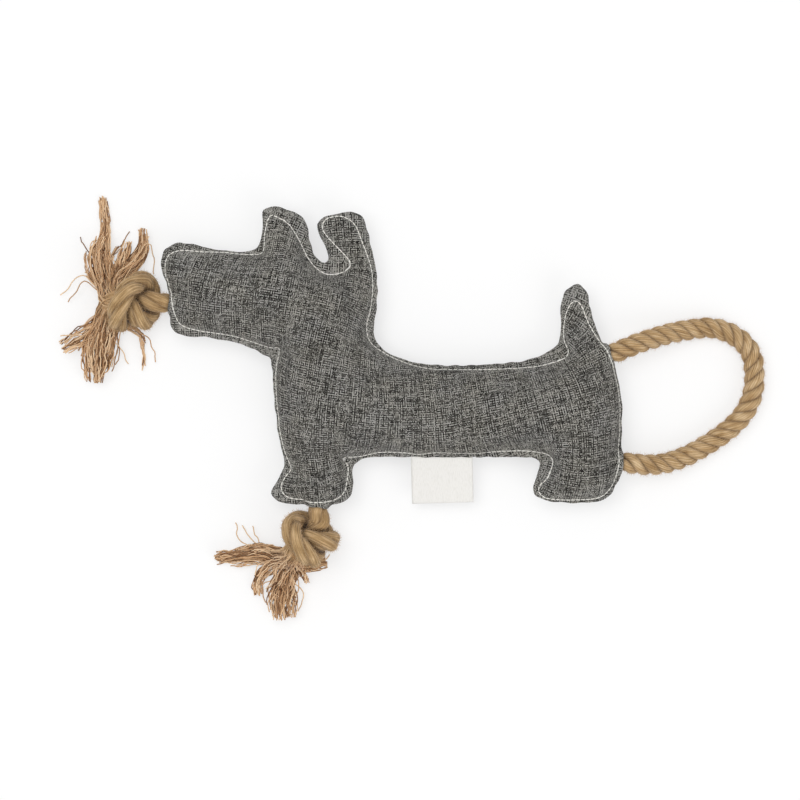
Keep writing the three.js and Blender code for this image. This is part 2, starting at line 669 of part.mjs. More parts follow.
function crownOutline() {
  const steps = 5;
  const arc = (inset) => Array.from({ length: steps + 1 }, (_, step) => {
    const turn = (Math.PI / 2) * (step / steps);
    const height = (crownHeight - inset) * Math.sin(turn);
    return [step === steps ? 0 : (squeakerRadius - inset) * Math.cos(turn), crownFoot + height];
  });
  return [...arc(0), ...arc(crownWall).reverse()];
}

addPiece("squeaker_crown", turned(crownOutline()), finishes.squeaker);

const cupTop = flangeTop - flangeThickness + cupLength;
const cupInner = cupRadius - cupWall;
const shelfTop = flangeTop;
const airSlot = box(
  [-reedLength / 2 + reedRoot + reedClearance, -reedWidth / 4, shelfTop - 2 * shelfThickness],
  [reedLength / 2 - reedClearance, reedWidth / 4, shelfTop + shelfThickness],
);
const reedCup = solidOf(turned([
  [0, shelfTop - shelfThickness], [cupRadius + cupFlange, flangeTop - flangeThickness],
  [cupRadius + cupFlange, flangeTop], [cupRadius, flangeTop], [cupRadius, cupTop], [cupInner, cupTop],
  [cupInner, shelfTop], [0, shelfTop],
])).subtract(solidOf(airSlot.translate(torsoMiddleX, torsoMiddleY, 0)));
addPiece("reed_cup", geometryOf(reedCup), finishes.squeaker);

const reedFoot = shelfTop + reedClearance;
const reed = box(
  [-reedLength / 2, -reedWidth / 2, reedFoot],
  [reedLength / 2, reedWidth / 2, reedFoot + reedThickness],
);
addPiece("reed_tongue", reed.translate(torsoMiddleX, torsoMiddleY, 0), finishes.reed);

// The clamp bridges the reed's root and stands on the shelf on both sides of it
const clampSpan = reedWidth / 2 + reedClearance;
const clampRoof = 2 * reedClearance + reedThickness;
const clampShape = new THREE.Shape([
  [-clampWidth / 2, pieceGap], [-clampSpan, pieceGap], [-clampSpan, clampRoof], [clampSpan, clampRoof],
  [clampSpan, pieceGap], [clampWidth / 2, pieceGap], [clampWidth / 2, clampRoof + clampHeight],
  [-clampWidth / 2, clampRoof + clampHeight],
].map(([across, height]) => new THREE.Vector2(across, height)));
const clamp = new THREE.ExtrudeGeometry(clampShape, { depth: reedRoot, bevelEnabled: false })
  .rotateX(Math.PI / 2)
  .rotateZ(Math.PI / 2)
  .translate(torsoMiddleX - reedLength / 2, torsoMiddleY, shelfTop);
addPiece("reed_clamp", clamp, finishes.reed);

// Label: a folded tape whose root is sewn between the panels, and whose flap hangs from the seam
addPiece("label_root", box(
  [labelX - labelWidth / 2, bellyY + pieceGap, seamHeight - labelThickness / 2],
  [labelX + labelWidth / 2, bellyY + labelTuck, seamHeight + labelThickness / 2],
), finishes.tape);

const labelHingeY = bellyY - labelThickness / 2 - pieceGap;
const flapEnd = labelThickness / 2 + labelFoldGap / 2;
const flapSlit = pieceGap / 2;
const flapOutline = [
  [0, flapSlit], [0, labelThickness / 2], [-0.6 * labelLength, flapEnd], [-labelLength + flapEnd, flapEnd],
  [-labelLength + 0.3 * flapEnd, 0.7 * flapEnd], [-labelLength, 0],
];
const flapSlitOutline = [
  [-labelLength + tapeThickness, 0], [-labelLength + flapEnd, flapEnd - tapeThickness],
  [-0.6 * labelLength, flapEnd - tapeThickness],
];
const mirrored = (points) => points.map(([along, height]) => [along, -height]).reverse();
const flapShape = new THREE.Shape([
  ...flapOutline, ...mirrored(flapOutline).slice(1), ...mirrored(flapSlitOutline).slice(0, -1),
  ...flapSlitOutline,
].map(([along, height]) => new THREE.Vector2(along, height)));
const flap = new THREE.ExtrudeGeometry(flapShape, { depth: labelWidth, bevelEnabled: false })
  .translate(0, 0, -labelWidth / 2)
  .rotateX(Math.PI / 2)
  .rotateZ(Math.PI / 2)
  .rotateX(THREE.MathUtils.degToRad(labelDroop))
  .translate(labelX, labelHingeY, seamHeight);
addPiece("label_flap", flap, finishes.tape);

// Rope ends sewn into the seam, up to the bend where each rope leaves its mouth
const ropeSides = 10;
const rootEnd = mouthLip + bendReach - ropeRadius - pieceGap;
for (const [name, mouth] of Object.entries(mouths)) {
  addPiece(`${name}_rope_root`, mouthRod(mouth, ropeRadius, -ropeTuck, rootEnd, ropeSides), finishes.rope);
}

function roundSection(radius, sides) {
  const corner = (_, side) => {
    const turn = (2 * Math.PI * side) / sides;
    return new THREE.Vector2(radius * Math.cos(turn), radius * Math.sin(turn));
  };
  return new THREE.Shape(Array.from({ length: sides }, corner));
}

function ropeAlong(points, radius, steps, sides = ropeSides) {
  const path = new THREE.CatmullRomCurve3(points);
  return new THREE.ExtrudeGeometry(roundSection(radius, sides), { steps, extrudePath: path });
}

function ballAt(centre, radius) {
  return new THREE.SphereGeometry(radius, 14, 10).translate(centre.x, centre.y, centre.z);
}

// Pull loop: route measured from the rump and the belly, sinking from the seam to the ground
const loopRoute = [
  [10, 68.5], [19, 71.4], [29, 74.3], [42, 76.8], [54, 77.8], [65, 74.8], [73.6, 69], [78.8, 61],
  [80.3, 50], [79.7, 40], [76.5, 30.5], [71, 22.4], [61.6, 14], [50.8, 6.8], [38.8, 0.4], [26, -3.8],
  [14, -4.6],
];
const loopGroundX = 50; // from the rump to where the loop lies on the ground
const loopSteps = 40;

function loopHeight(out) {
  const share = THREE.MathUtils.smoothstep(out, 0, loopGroundX);
  return THREE.MathUtils.lerp(seamHeight, ropeRadius + groundGap, share);
}

const loopPoints = [
  mouths.tail.bend,
  ...loopRoute.map(([out, up]) => new THREE.Vector3(rumpX + out, bellyY + up, loopHeight(out))),
  mouths.rear_paw.bend,
];
const pullLoop = solidOf(ropeAlong(loopPoints, ropeRadius, loopSteps))
  .add(solidOf(ballAt(mouths.tail.bend, ropeRadius)))
  .add(solidOf(ballAt(mouths.rear_paw.bend, ropeRadius)));
addPiece("pull_loop", geometryOf(pullLoop), finishes.rope);

// Overhand knot: an open knotted line that is drawn tight until its turns lie on one another.
// Each round shortens the line, pulls its ends apart, eases its bends and parts crossing turns.
function drawTight(apart, lengthInRopes) {
  const count = 58;
  const open = Array.from({ length: count }, (_, index) => {
    const t = -2.25 + (4.5 * index) / (count - 1);
    const x = 1.6 * (t ** 5 - 10 * t);
    const y = 5 * (t ** 4 - 4 * t ** 2 + 2);
    const z = 9 * (t ** 3 - 3 * t);
    return new THREE.Vector3(x, y, z).multiplyScalar(apart / ropeDiameter);
  });
  const curve = new THREE.CatmullRomCurve3(open);
  const line = curve.getSpacedPoints(count - 1);
  const shortest = (lengthInRopes * apart) / (count - 1);
  const step = new THREE.Vector3();
  let spacing = curve.getLength() / (count - 1);
  const move = (from, to, wanted) => {
    step.subVectors(line[to], line[from]);
    const far = step.length();
    step.multiplyScalar((0.5 * (far - wanted)) / far);
    line[from].add(step);
    line[to].sub(step);
  };
  for (let round = 0; round < 700; round += 1) {
    spacing = Math.max(shortest, 0.996 * spacing);
    const neighbours = Math.ceil((1.4 * apart) / spacing);
    line[0].x -= 0.02 * apart;
    line[count - 1].x += 0.02 * apart;
    for (const end of [line[0], line[count - 1]]) end.set(end.x, 0.97 * end.y, 0.97 * end.z);
    for (let i = 1; i < count - 1; i += 1) {
      step.addVectors(line[i - 1], line[i + 1]).multiplyScalar(0.5).sub(line[i]);
      line[i].addScaledVector(step, 0.15);
    }
    for (let pass = 0; pass < 12; pass += 1) {
      for (let i = 0; i < count; i += 1) {
        for (let j = i + neighbours; j < count; j += 1) {
          if (line[i].distanceTo(line[j]) < apart) move(i, j, apart);
        }
      }
      for (let i = 0; i < count - 1; i += 1) move(i, i + 1, spacing);
    }
  }
  const start = line[0].clone();
  return line.map((point) => point.sub(start));
}

function leastGap(line, diameter) {
  const neighbours = Math.ceil((1.4 * diameter) / line[0].distanceTo(line[1]));
  let least = Infinity;
  line.forEach((point, i) => {
    for (let j = i + neighbours; j < line.length; j += 1) least = Math.min(least, point.distanceTo(line[j]));
  });
  return least - diameter;
}

const knotLength = 12.6; // length of rope in a knot, in rope diameters
const knotSides = 8;
const knotLine = drawTight(knotRopeDiameter + knotGap, knotLength);
console.log(`knot: least gap to itself ${leastGap(knotLine, knotRopeDiameter).toFixed(2)} mm`);

// Turns a knot to its heading and lifts it until it lies just clear of the ground
function layKnot(mouth, { heading, roll, hand, lead }) {
  const radius = knotRopeDiameter / 2;
  const afterLead = ({ x, y, z }) => new THREE.Vector3(x + lead, y, hand * z);
  const line = [new THREE.Vector3(), ...knotLine.map(afterLead)];
  const lying = (lift) => {
    const angles = [roll, -lift, heading].map(THREE.MathUtils.degToRad);
    const turn = new THREE.Euler(...angles, "ZYX");
    return line.map((point) => point.clone().applyEuler(turn).add(mouth.bend));
  };
  const lowest = (lift) => Math.min(...lying(lift).map((point) => point.z)) - radius;
  let lift = -30;
  while (lowest(lift) < groundGap) lift += 0.25;
  return lying(lift);
}

// A swelling, tapering bundle of yarn along hand-chosen points, with a radius for each
function bundle(points, radii) {
  const sides = 8;
  const steps = 3 * (points.length - 1);
  const path = new THREE.CatmullRomCurve3(points);
  const frames = path.computeFrenetFrames(steps, false);
  const positions = [];
  const triangles = [];
  for (let step = 0; step <= steps; step += 1) {
    const place = (step / steps) * (radii.length - 1);
    const lower = Math.min(Math.floor(place), radii.length - 2);
    const radius = THREE.MathUtils.lerp(radii[lower], radii[lower + 1], place - lower);
    const centre = path.getPoint(step / steps);
    for (let side = 0; side < sides; side += 1) {
      const turn = (2 * Math.PI * side) / sides;
      const spot = centre.clone().addScaledVector(frames.normals[step], radius * Math.cos(turn));
      positions.push(...spot.addScaledVector(frames.binormals[step], radius * Math.sin(turn)).toArray());
      const here = step * sides + side;
      const beside = step * sides + ((side + 1) % sides);
      if (step < steps) triangles.push(here, beside, here + sides, beside, beside + sides, here + sides);
    }
  }
  for (let side = 1; side < sides - 1; side += 1) {
    const end = steps * sides;
    triangles.push(0, side + 1, side, end, end + side, end + side + 1);
  }
  const geometry = new THREE.BufferGeometry();
  geometry.setAttribute("position", new THREE.Float32BufferAttribute(positions, 3));
  geometry.setIndex(triangles);
  return solidOf(geometry);
}

// A knotted rope: its neck in the mouth, the knot, and the tufts that fray from its end
function knottedRope(name, mouth, pose, tufts) {
  addPiece(`${name}_rope_neck`, ballAt(mouth.bend, ropeRadius), finishes.rope);
  const line = layKnot(mouth, pose);
  const socket = solidOf(ballAt(mouth.bend, ropeRadius + pieceGap));
  const knot = solidOf(ropeAlong(line, knotRopeDiameter / 2, line.length - 1, knotSides)).subtract(socket);
  addPiece(`${name}_knot`, geometryOf(largestBody(knot)), finishes.rope);
  const end = line.at(-1);
  let taken = solidOf(ropeAlong(line, knotRopeDiameter / 2 + pieceGap, line.length - 1, knotSides));
  for (const [tuft, { route, radii }] of Object.entries(tufts)) {
    const sink = (index) => Math.max(0, 1 - (1.6 * index) / route.length) * end.z;
    const lay = ([x, y], index) => {
      const height = Math.max(radii[index + 1] + tuftGroundGap, sink(index + 1));
      return new THREE.Vector3(mouth.bend.x + x, mouth.bend.y + y, height);
    };
    const points = [end, ...route.map(lay)];
    const yarn = largestBody(bundle(points, radii).subtract(taken));
    addPiece(`${name}_tuft_${tuft}`, geometryOf(yarn), finishes.yarn);
    taken = taken.add(bundle(points, radii.map((radius) => radius + pieceGap)));
  }
}

knottedRope("muzzle", mouths.muzzle, { heading: 180, roll: 270, hand: 1, lead: 6 }, {
  down: { route: [[-35, -8], [-38, -20], [-41, -33], [-42.5, -46]], radii: [3.2, 4.6, 6, 6.6, 4] },
  up: { route: [[-35, 22], [-38, 37], [-37, 47], [-38.5, 61]], radii: [3.2, 5.4, 4.4, 3, 1.6] },
  side: { route: [[-27, 22], [-18, 26], [-13.5, 35], [-15, 43]], radii: [2.4, 3.6, 3.8, 3.4, 1.6] },
});
knottedRope("front_paw", mouths.front_paw, { heading: -112, roll: 135, hand: -1, lead: 4 }, {
  down: { route: [[-20, -44], [-20, -55], [-24, -64], [-22.5, -73]], radii: [3.2, 4.6, 5.4, 7, 5] },
  left: { route: [[-30, -32], [-42, -31], [-54, -32], [-63, -33]], radii: [3.2, 4.6, 4.6, 4, 2] },
  right: { route: [[-10, -44], [-4, -45], [4, -43]], radii: [2.4, 3.4, 3.4, 2.4] },
});

export default toy;
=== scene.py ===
import math
import bmesh
import bpy
import numpy as np
from mathutils import Matrix, Vector
from mathutils.bvhtree import BVHTree
from mathutils.geometry import delaunay_2d_cdt


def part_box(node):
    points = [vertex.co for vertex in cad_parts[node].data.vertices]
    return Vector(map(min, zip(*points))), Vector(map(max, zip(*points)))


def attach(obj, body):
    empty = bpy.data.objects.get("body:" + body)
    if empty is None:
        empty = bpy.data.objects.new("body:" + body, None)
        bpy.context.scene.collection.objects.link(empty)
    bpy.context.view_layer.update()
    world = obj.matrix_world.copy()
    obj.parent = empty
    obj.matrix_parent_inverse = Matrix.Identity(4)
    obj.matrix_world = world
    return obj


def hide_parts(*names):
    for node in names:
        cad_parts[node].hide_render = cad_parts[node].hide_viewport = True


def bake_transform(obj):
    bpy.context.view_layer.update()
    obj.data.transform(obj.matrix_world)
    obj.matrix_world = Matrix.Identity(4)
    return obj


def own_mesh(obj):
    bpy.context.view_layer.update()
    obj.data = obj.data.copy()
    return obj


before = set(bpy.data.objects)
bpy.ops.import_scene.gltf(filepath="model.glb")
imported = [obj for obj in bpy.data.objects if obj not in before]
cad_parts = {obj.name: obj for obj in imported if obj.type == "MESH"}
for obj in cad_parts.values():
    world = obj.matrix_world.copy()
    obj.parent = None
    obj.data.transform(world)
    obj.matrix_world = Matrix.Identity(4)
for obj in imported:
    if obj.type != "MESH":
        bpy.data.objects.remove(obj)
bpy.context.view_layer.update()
scene = bpy.context.scene
mm = 0.001
seamZ = 17.0  # height of the seam above the ground


def placed(name, data):
    thing = bpy.data.objects.new(name, data)
    scene.collection.objects.link(thing)
    return thing


# camera straight above, as the toy was laid out and shot
cameraSettings = {"middle": (5.1, -26.4), "distance": 2000.0, "lens": 150.0, "sensor": 36.0, "clipEnd": 20.0}


def addCamera(settings):
    data = bpy.data.cameras.new("topCamera")
    data.lens = settings["lens"]
    data.sensor_width = settings["sensor"]
    data.clip_end = settings["clipEnd"]
    x, y = settings["middle"]
    scene.camera = placed("topCamera", data)
    scene.camera.location = Vector((x, y, seamZ + settings["distance"])) * mm


addCamera(cameraSettings)
print("camera set")


# small helpers for meshes
def addMesh(name, verts, faces, material=None, smooth=True):
    mesh = bpy.data.meshes.new(name)
    mesh.from_pydata((np.asarray(verts, float) * mm).tolist(), [], [tuple(int(i) for i in f) for f in faces])
    mesh.validate()
    if smooth:
        mesh.polygons.foreach_set("use_smooth", [True] * len(mesh.polygons))
    if material:
        mesh.materials.append(material)
    return placed(name, mesh)


def gridFaces(rows, columns, start=0, closedRows=False, closedColumns=False):
    faces = []
    for i in range(rows if closedRows else rows - 1):
        here = start + i * columns
        below = start + (i + 1) % rows * columns
        for j in range(columns if closedColumns else columns - 1):
            right = (j + 1) % columns
            faces.append((here + j, here + right, below + right, below + j))
    return faces


def faceOutwards(piece):
    work = bmesh.new()
    work.from_mesh(piece.data)
    bmesh.ops.remove_doubles(work, verts=work.verts, dist=1e-6)
    bmesh.ops.recalc_face_normals(work, faces=work.faces)
    work.to_mesh(piece.data)
    work.free()


def setPoints(piece, name, values):
    attribute = piece.data.attributes.new(name, "FLOAT", "POINT")
    attribute.data.foreach_set("value", np.asarray(values, np.float32))


def spotsOf(mesh):
    return np.array([v.co for v in mesh.vertices])


def cornerVertices(piece):
    corners = np.empty(len(piece.data.loops), int)
    piece.data.loops.foreach_get("vertex_index", corners)
    return corners


def setUv(piece, name, perVertex):
    layer = piece.data.uv_layers.new(name=name)
    layer.data.foreach_set("uv", np.asarray(perVertex, np.float32)[cornerVertices(piece)].ravel())


def evaluated(piece):
    graph = bpy.context.evaluated_depsgraph_get()
    graph.update()
    return bpy.data.meshes.new_from_object(piece.evaluated_get(graph))


# small helpers for materials
def newMaterial(name, color, roughness, gloss=0.15):
    material = bpy.data.materials.new(name)
    material.use_nodes = True
    shader = material.node_tree.nodes["Principled BSDF"]
    shader.inputs["Base Color"].default_value = (*color, 1)
    shader.inputs["Roughness"].default_value = roughness
    shader.inputs["Specular IOR Level"].default_value = gloss
    return material, material.node_tree, shader


def addNode(tree, kind, values=None, **settings):
    node = tree.nodes.new(kind)
    for key, value in settings.items():
        setattr(node, key, value)
    for key, value in (values or {}).items():
        if isinstance(value, bpy.types.NodeSocket):
            tree.links.new(value, node.inputs[key])
        else:
            node.inputs[key].default_value = value
    return node


def mathNode(tree, operation, first, second=None):
    values = {0: first}
    if second is not None:
        values[1] = second
    return addNode(tree, "ShaderNodeMath", values, operation=operation).outputs[0]


def rampNode(tree, value, places, colors):
    node = addNode(tree, "ShaderNodeValToRGB", {0: value})
    ramp = node.color_ramp
    while len(ramp.elements) < len(places):
        ramp.elements.new(0.5)
    for element, place, color in zip(ramp.elements, places, colors):
        element.position = place
        element.color = (*color, 1)
    return node.outputs[0]


def noiseNode(tree, place, scale, detail, **more):
    return addNode(tree, "ShaderNodeTexNoise", {0: place, "Scale": scale, "Detail": detail, **more}).outputs


def mapped(tree, value, low, high, first, last, **settings):
    values = {0: value, 1: low, 2: high, 3: first, 4: last}
    return addNode(tree, "ShaderNodeMapRange", values, **settings).outputs[0]


def mixColor(tree, share, first, second, blendType="MIX"):
    values = {0: share}
    for key, value in ((6, first), (7, second)):
        values[key] = value if isinstance(value, bpy.types.NodeSocket) else (*value, 1)
    return addNode(tree, "ShaderNodeMix", values, data_type="RGBA", blend_type=blendType).outputs[2]


def sharedTone(tree, first, second, share):
    return mathNode(tree, "ADD", mathNode(tree, "MULTIPLY", first, share),
                    mathNode(tree, "MULTIPLY", second, 1 - share))


def scaled(tree, vector, factor):
    return addNode(tree, "ShaderNodeVectorMath", {0: vector, "Scale": factor}, operation="SCALE").outputs[0]


def objectPlace(tree):
    return tree.nodes.new("ShaderNodeTexCoord").outputs["Object"]


def pointValue(tree, name):
    return addNode(tree, "ShaderNodeAttribute", attribute_name=name).outputs["Fac"]


def finishLook(tree, shader, color, height, look):
    tree.links.new(color, shader.inputs["Base Color"])
    shader.inputs["Sheen Weight"].default_value = look["sheen"]
    bump = {"Height": height, "Strength": look["bump"], "Distance": look["bumpDepth"] * mm}
    tree.links.new(addNode(tree, "ShaderNodeBump", bump).outputs[0], shader.inputs["Normal"])


# two tones of one colour in a noise, which also gives the grain
plainLook = {"gloss": 0.15, "sheen": 0.0, "scale": 1.0, "detail": 2.0, "distortion": 0.0, "ribs": None,
             "grainScale": None}


def twoToneMaterial(name, look):
    material, tree, shader = newMaterial(name, look["main"], look["roughness"], look["gloss"])
    place = objectPlace(tree)
    spread = place
    if look["ribs"]:
        spread = addNode(tree, "ShaderNodeMapping", {0: place, "Scale": look["ribs"]}).outputs[0]
    grain = noiseNode(tree, spread, look["scale"], look["detail"], Distortion=look["distortion"])[0]
    color = rampNode(tree, grain, look["stops"], (look["shade"], look["main"]))
    if look["grainScale"]:
        grain = noiseNode(tree, place, look["grainScale"], 2.0)[0]
    finishLook(tree, shader, color, grain, look)
    return material


# tan laid rope: yarns lie along the rope on the outside of each strand; the groove colour is painted shade,
# laid into the grooves between strands, the lines between yarns and where turns of the rope touch
ropeLook = {
    "groove": (0.055, 0.026, 0.009), "shade": (0.36, 0.22, 0.095), "tan": (0.54, 0.355, 0.175),
    "pale": (0.74, 0.55, 0.33), "toneStops": (0.40, 0.49, 0.60), "fibreStretch": (1.2, 26.0, 1.0),
    "fibreShare": 0.7, "patchScale": 110.0, "yarnsRound": 13, "yarnGapShade": 0.4, "lineWidth": 0.55,
    "grooveStart": 0.55, "grooveReach": 1.03, "grooveShadeShare": 0.92, "roughness": 0.9, "sheen": 0.15,
    "feltScale": 1500.0, "fibreBump": 1.2, "bump": 0.6, "bumpDepth": 0.5,
}
knotLook = dict(ropeLook, shade=(0.34, 0.21, 0.093), tan=(0.46, 0.30, 0.142), pale=(0.66, 0.46, 0.255),
                yarnGapShade=0.25, grooveReach=0.98)


def ropeMaterial(name, look):
    material, tree, shader = newMaterial(name, look["tan"], look["roughness"])
    strand = addNode(tree, "ShaderNodeUVMap", uv_map="strand").outputs[0]
    turn = addNode(tree, "ShaderNodeSeparateXYZ", {0: strand}).outputs[1]
    phase = mathNode(tree, "MULTIPLY", turn, math.pi * look["yarnsRound"])
    line = mathNode(tree, "ABSOLUTE", mathNode(tree, "SINE", phase))
    stretched = addNode(tree, "ShaderNodeMapping", {0: strand, "Scale": look["fibreStretch"]}).outputs[0]
    fibres = noiseNode(tree, stretched, 1.0, 5.0)[0]
    place = objectPlace(tree)
    patches = noiseNode(tree, place, look["patchScale"], 3.0)[0]
    tone = sharedTone(tree, fibres, patches, look["fibreShare"])
    color = rampNode(tree, tone, look["toneStops"], (look["shade"], look["tan"], look["pale"]))
    # painted shade: dark lines of the groove colour in the gaps between the yarns
    gap = mapped(tree, line, 0.0, look["lineWidth"], look["yarnGapShade"], 0.0)
    lined = mixColor(tree, gap, color, look["groove"])
    # painted shade: the groove colour is mixed in where the rope is deep between its strands or close to
    # another turn of itself
    shade = mapped(tree, pointValue(tree, "depth"), look["grooveStart"], look["grooveReach"],
                   look["grooveShadeShare"], 0.0, interpolation_type="SMOOTHSTEP")
    felt = noiseNode(tree, place, look["feltScale"], 2.0)[0]
    grain = mathNode(tree, "ADD", mathNode(tree, "MULTIPLY", fibres, look["fibreBump"]), felt)
    shaded = mixColor(tree, shade, lined, look["groove"])
    finishLook(tree, shader, shaded, mathNode(tree, "ADD", line, grain), look)
    return material


tanRope = ropeMaterial("tanRope", ropeLook)
feltedRope = ropeMaterial("feltedRope", knotLook)


# paths: a smooth curve through given points, walked in even steps
def throughPoints(points, perSpan=24):
    points = np.asarray(points, float)
    ends = np.vstack([2 * points[0] - points[1], points, 2 * points[-1] - points[-2]])
    walked = []
    for i in range(1, len(ends) - 2):
        p0, p1, p2, p3 = ends[i - 1:i + 3]
        k0 = np.sqrt(np.linalg.norm(p1 - p0))
        k1 = np.sqrt(np.linalg.norm(p2 - p1))
        k2 = np.sqrt(np.linalg.norm(p3 - p2))
        m1 = k1 * ((p1 - p0) / k0 - (p2 - p0) / (k0 + k1) + (p2 - p1) / k1)
        m2 = k1 * ((p2 - p1) / k1 - (p3 - p1) / (k1 + k2) + (p3 - p2) / k2)
        for t in np.arange(perSpan) / perSpan:
            walked.append((2 * t**3 - 3 * t**2 + 1) * p1 + (t**3 - 2 * t**2 + t) * m1
                          + (3 * t**2 - 2 * t**3) * p2 + (t**3 - t**2) * m2)
    walked.append(ends[-2])
    return np.array(walked)


def reachAlong(points):
    return np.concatenate([[0], np.cumsum(np.linalg.norm(np.diff(points, axis=0), axis=1))])


def evenSteps(points, step):
    points = np.asarray(points, float)
    reach = reachAlong(points)
    places = np.linspace(0, reach[-1], max(2, int(round(reach[-1] / step)) + 1))
    return np.stack([np.interp(places, reach, points[:, axis]) for axis in range(points.shape[1])], axis=1)


def pathLength(points):
    return float(np.linalg.norm(np.diff(np.asarray(points, float), axis=0), axis=1).sum())


# two directions across a path that turn with it and never twist
def transported(points):
    along = np.gradient(points, axis=0)
    along /= np.linalg.norm(along, axis=1, keepdims=True)
    first = np.cross(along[0], (0.0, 0.0, 1.0))
    if np.linalg.norm(first) < 1e-3:
        first = np.array((1.0, 0.0, 0.0))
    normals = [first / np.linalg.norm(first)]
    for tangent in along[1:]:
        moved = normals[-1] - tangent * normals[-1].dot(tangent)
        normals.append(moved / np.linalg.norm(moved))
    normals = np.array(normals)
    return normals, np.cross(along, normals)


# a laid rope is strands wound round a path; swell gives its thickness along it
strandSettings = {"count": 3, "sides": 14, "offsetShare": 0.52, "radiusShare": 0.485, "ground": 0.15,
                  "leastRadius": 0.4, "turnAfter": 2.5, "farOff": 100.0, "turnDepth": 0.5, "uvShift": 0.37,
                  "uvLength": 10.0}


# how far each point is from the rope's other turns, in rope radii; it sets the painted shade where turns
# touch
def nextTurn(spots, path, reach, radius, settings):
    away = np.abs(reach[:, None] - reach[None]) > settings["turnAfter"] * radius
    gaps = [np.linalg.norm(ring[:, None] - path[others][None], axis=2).min(axis=1, initial=settings["farOff"])
            for ring, others in zip(spots, away)]
    return np.array(gaps) / radius


def laidRope(name, path, radius, lay, swell=None, settings=strandSettings, material=tanRope):
    normals, others = transported(path)
    reach = reachAlong(path)
    swell = np.ones(len(path)) if swell is None else swell
    verts, faces, depth, strandUv = [], [], [], []
    sides = settings["sides"]
    ring = math.pi * (2 * np.arange(sides) + 1 - sides) / sides
    slope = 2 * math.pi * settings["offsetShare"] * radius / lay
    lean = slope * math.sqrt(1 + slope**2) / (2 * math.pi * settings["radiusShare"] * radius)
    for strand in range(settings["count"]):
        turn = 2 * math.pi * (reach / lay + strand / settings["count"])
        outwards = np.cos(turn)[:, None] * normals + np.sin(turn)[:, None] * others
        middle = path + (settings["offsetShare"] * radius * swell)[:, None] * outwards
        course = np.gradient(middle, axis=0)
        course /= np.linalg.norm(course, axis=1, keepdims=True)
        out = outwards - course * (outwards * course).sum(axis=1, keepdims=True)
        out /= np.linalg.norm(out, axis=1, keepdims=True)
        across = np.cross(course, out)
        thick = (settings["radiusShare"] * radius * swell)[:, None, None]
        spots = middle[:, None, :] + thick * (np.cos(ring)[None, :, None] * out[:, None, :]
                                              + np.sin(ring)[None, :, None] * across[:, None, :])
        spots[:, :, 2] = np.maximum(spots[:, :, 2], settings["ground"])
        verts.append(spots.reshape(-1, 3))
        # depth: the lesser of how far each point is from the rope's centre and from its other turns; it only
        # drives the painted shade in grooves and where turns touch
        thickness = np.maximum(radius * swell, settings["leastRadius"])[:, None]
        far = np.linalg.norm(spots - path[:, None, :], axis=2) / thickness
        turnGap = nextTurn(spots, path, reach, radius, settings) - settings["turnDepth"]
        depth.append(np.minimum(far, turnGap).ravel())
        turns = ring[None, :] / (2 * math.pi) + lean * reach[:, None] + strand * settings["uvShift"]
        uv = np.stack(np.broadcast_arrays(reach[:, None] / settings["uvLength"], turns), axis=2)
        strandUv.append(uv.reshape(-1, 2))
        base = strand * len(path) * sides
        last = base + (len(path) - 1) * sides
        faces += gridFaces(len(path), sides, base, closedColumns=True)
        faces.append(tuple(base + j for j in reversed(range(sides))))
        faces.append(tuple(last + j for j in range(sides)))
    piece = addMesh(name, np.vstack(verts), faces, material)
    setPoints(piece, "depth", np.concatenate(depth))
    setUv(piece, "strand", np.vstack(strandUv))
    return piece


# the four places where a rope leaves the seam: rim on the cloth edge, bend just outside it
ropeSettings = {"diameter": 12.0, "fullRadius": 6.3, "lay": 22.5, "tuck": 18.0, "bendOut": 4.0, "step": 1.0,
                "knotStep": 0.9, "overlap": 0.3, "rootGap": 2.4, "blunt": 0.97}
mouths = {
    "muzzle": {"rim": (-132.752, 31.996), "out": (-0.99756, 0.06976)},
    "front_paw": {"rim": (-44.436, -90.146), "out": (-0.13917, -0.99027)},
    "tail": {"rim": (131.033, 0.997), "out": (0.95106, 0.30902)},
    "rear_paw": {"rim": (138.087, -63.959), "out": (0.99939, -0.0349)},
}
ropeRadius = ropeSettings["diameter"] / 2


def atMouth(name, out):
    mouth = mouths[name]
    x, y = (rim + out * way for rim, way in zip(mouth["rim"], mouth["out"]))
    return np.array((x, y, seamZ))


def roundedEnds(path, radius, first=True, last=True):
    reach = reachAlong(path)
    swell = np.ones(len(path))
    for here, wanted in ((reach, first), (reach[-1] - reach, last)):
        if wanted:
            inside = np.clip(1 - here / radius, 0, ropeSettings["blunt"])
            swell = np.minimum(swell, np.sqrt(1 - inside**2))
    return swell


# pull loop, sinking from the seam to the ground as it runs out
loopSettings = {
    "route": [(148.5, 7.8), (157.5, 10.7), (167.5, 13.6), (180.5, 16.1), (192.5, 17.1), (203.5, 14.1),
              (212.1, 8.3), (217.3, 0.3), (218.8, -10.7), (218.2, -20.7), (215.0, -30.2), (209.5, -38.3),
              (200.1, -46.7), (189.3, -53.9), (177.3, -60.3), (164.5, -64.5), (152.5, -65.3)],
    "rumpX": 138.5, "groundRun": 50.0, "groundGap": 0.4,
}


def loopPath(settings):
    def height(x):
        share = min(1.0, max(0.0, (x - settings["rumpX"]) / settings["groundRun"]))
        share = share * share * (3 - 2 * share)
        return seamZ + share * (ropeRadius + settings["groundGap"] - seamZ)

    tailBend = atMouth("tail", ropeSettings["bendOut"])
    pawBend = atMouth("rear_paw", ropeSettings["bendOut"])
    route = [np.array((x, y, height(x))) for x, y in settings["route"]]
    walked = throughPoints([tailBend, *route, pawBend])
    inside = ropeRadius - ropeSettings["overlap"]
    started = atMouth("tail", ropeSettings["bendOut"] - inside)
    ended = atMouth("rear_paw", ropeSettings["bendOut"] - inside)
    return evenSteps(np.vstack([started, walked, ended]), ropeSettings["step"])


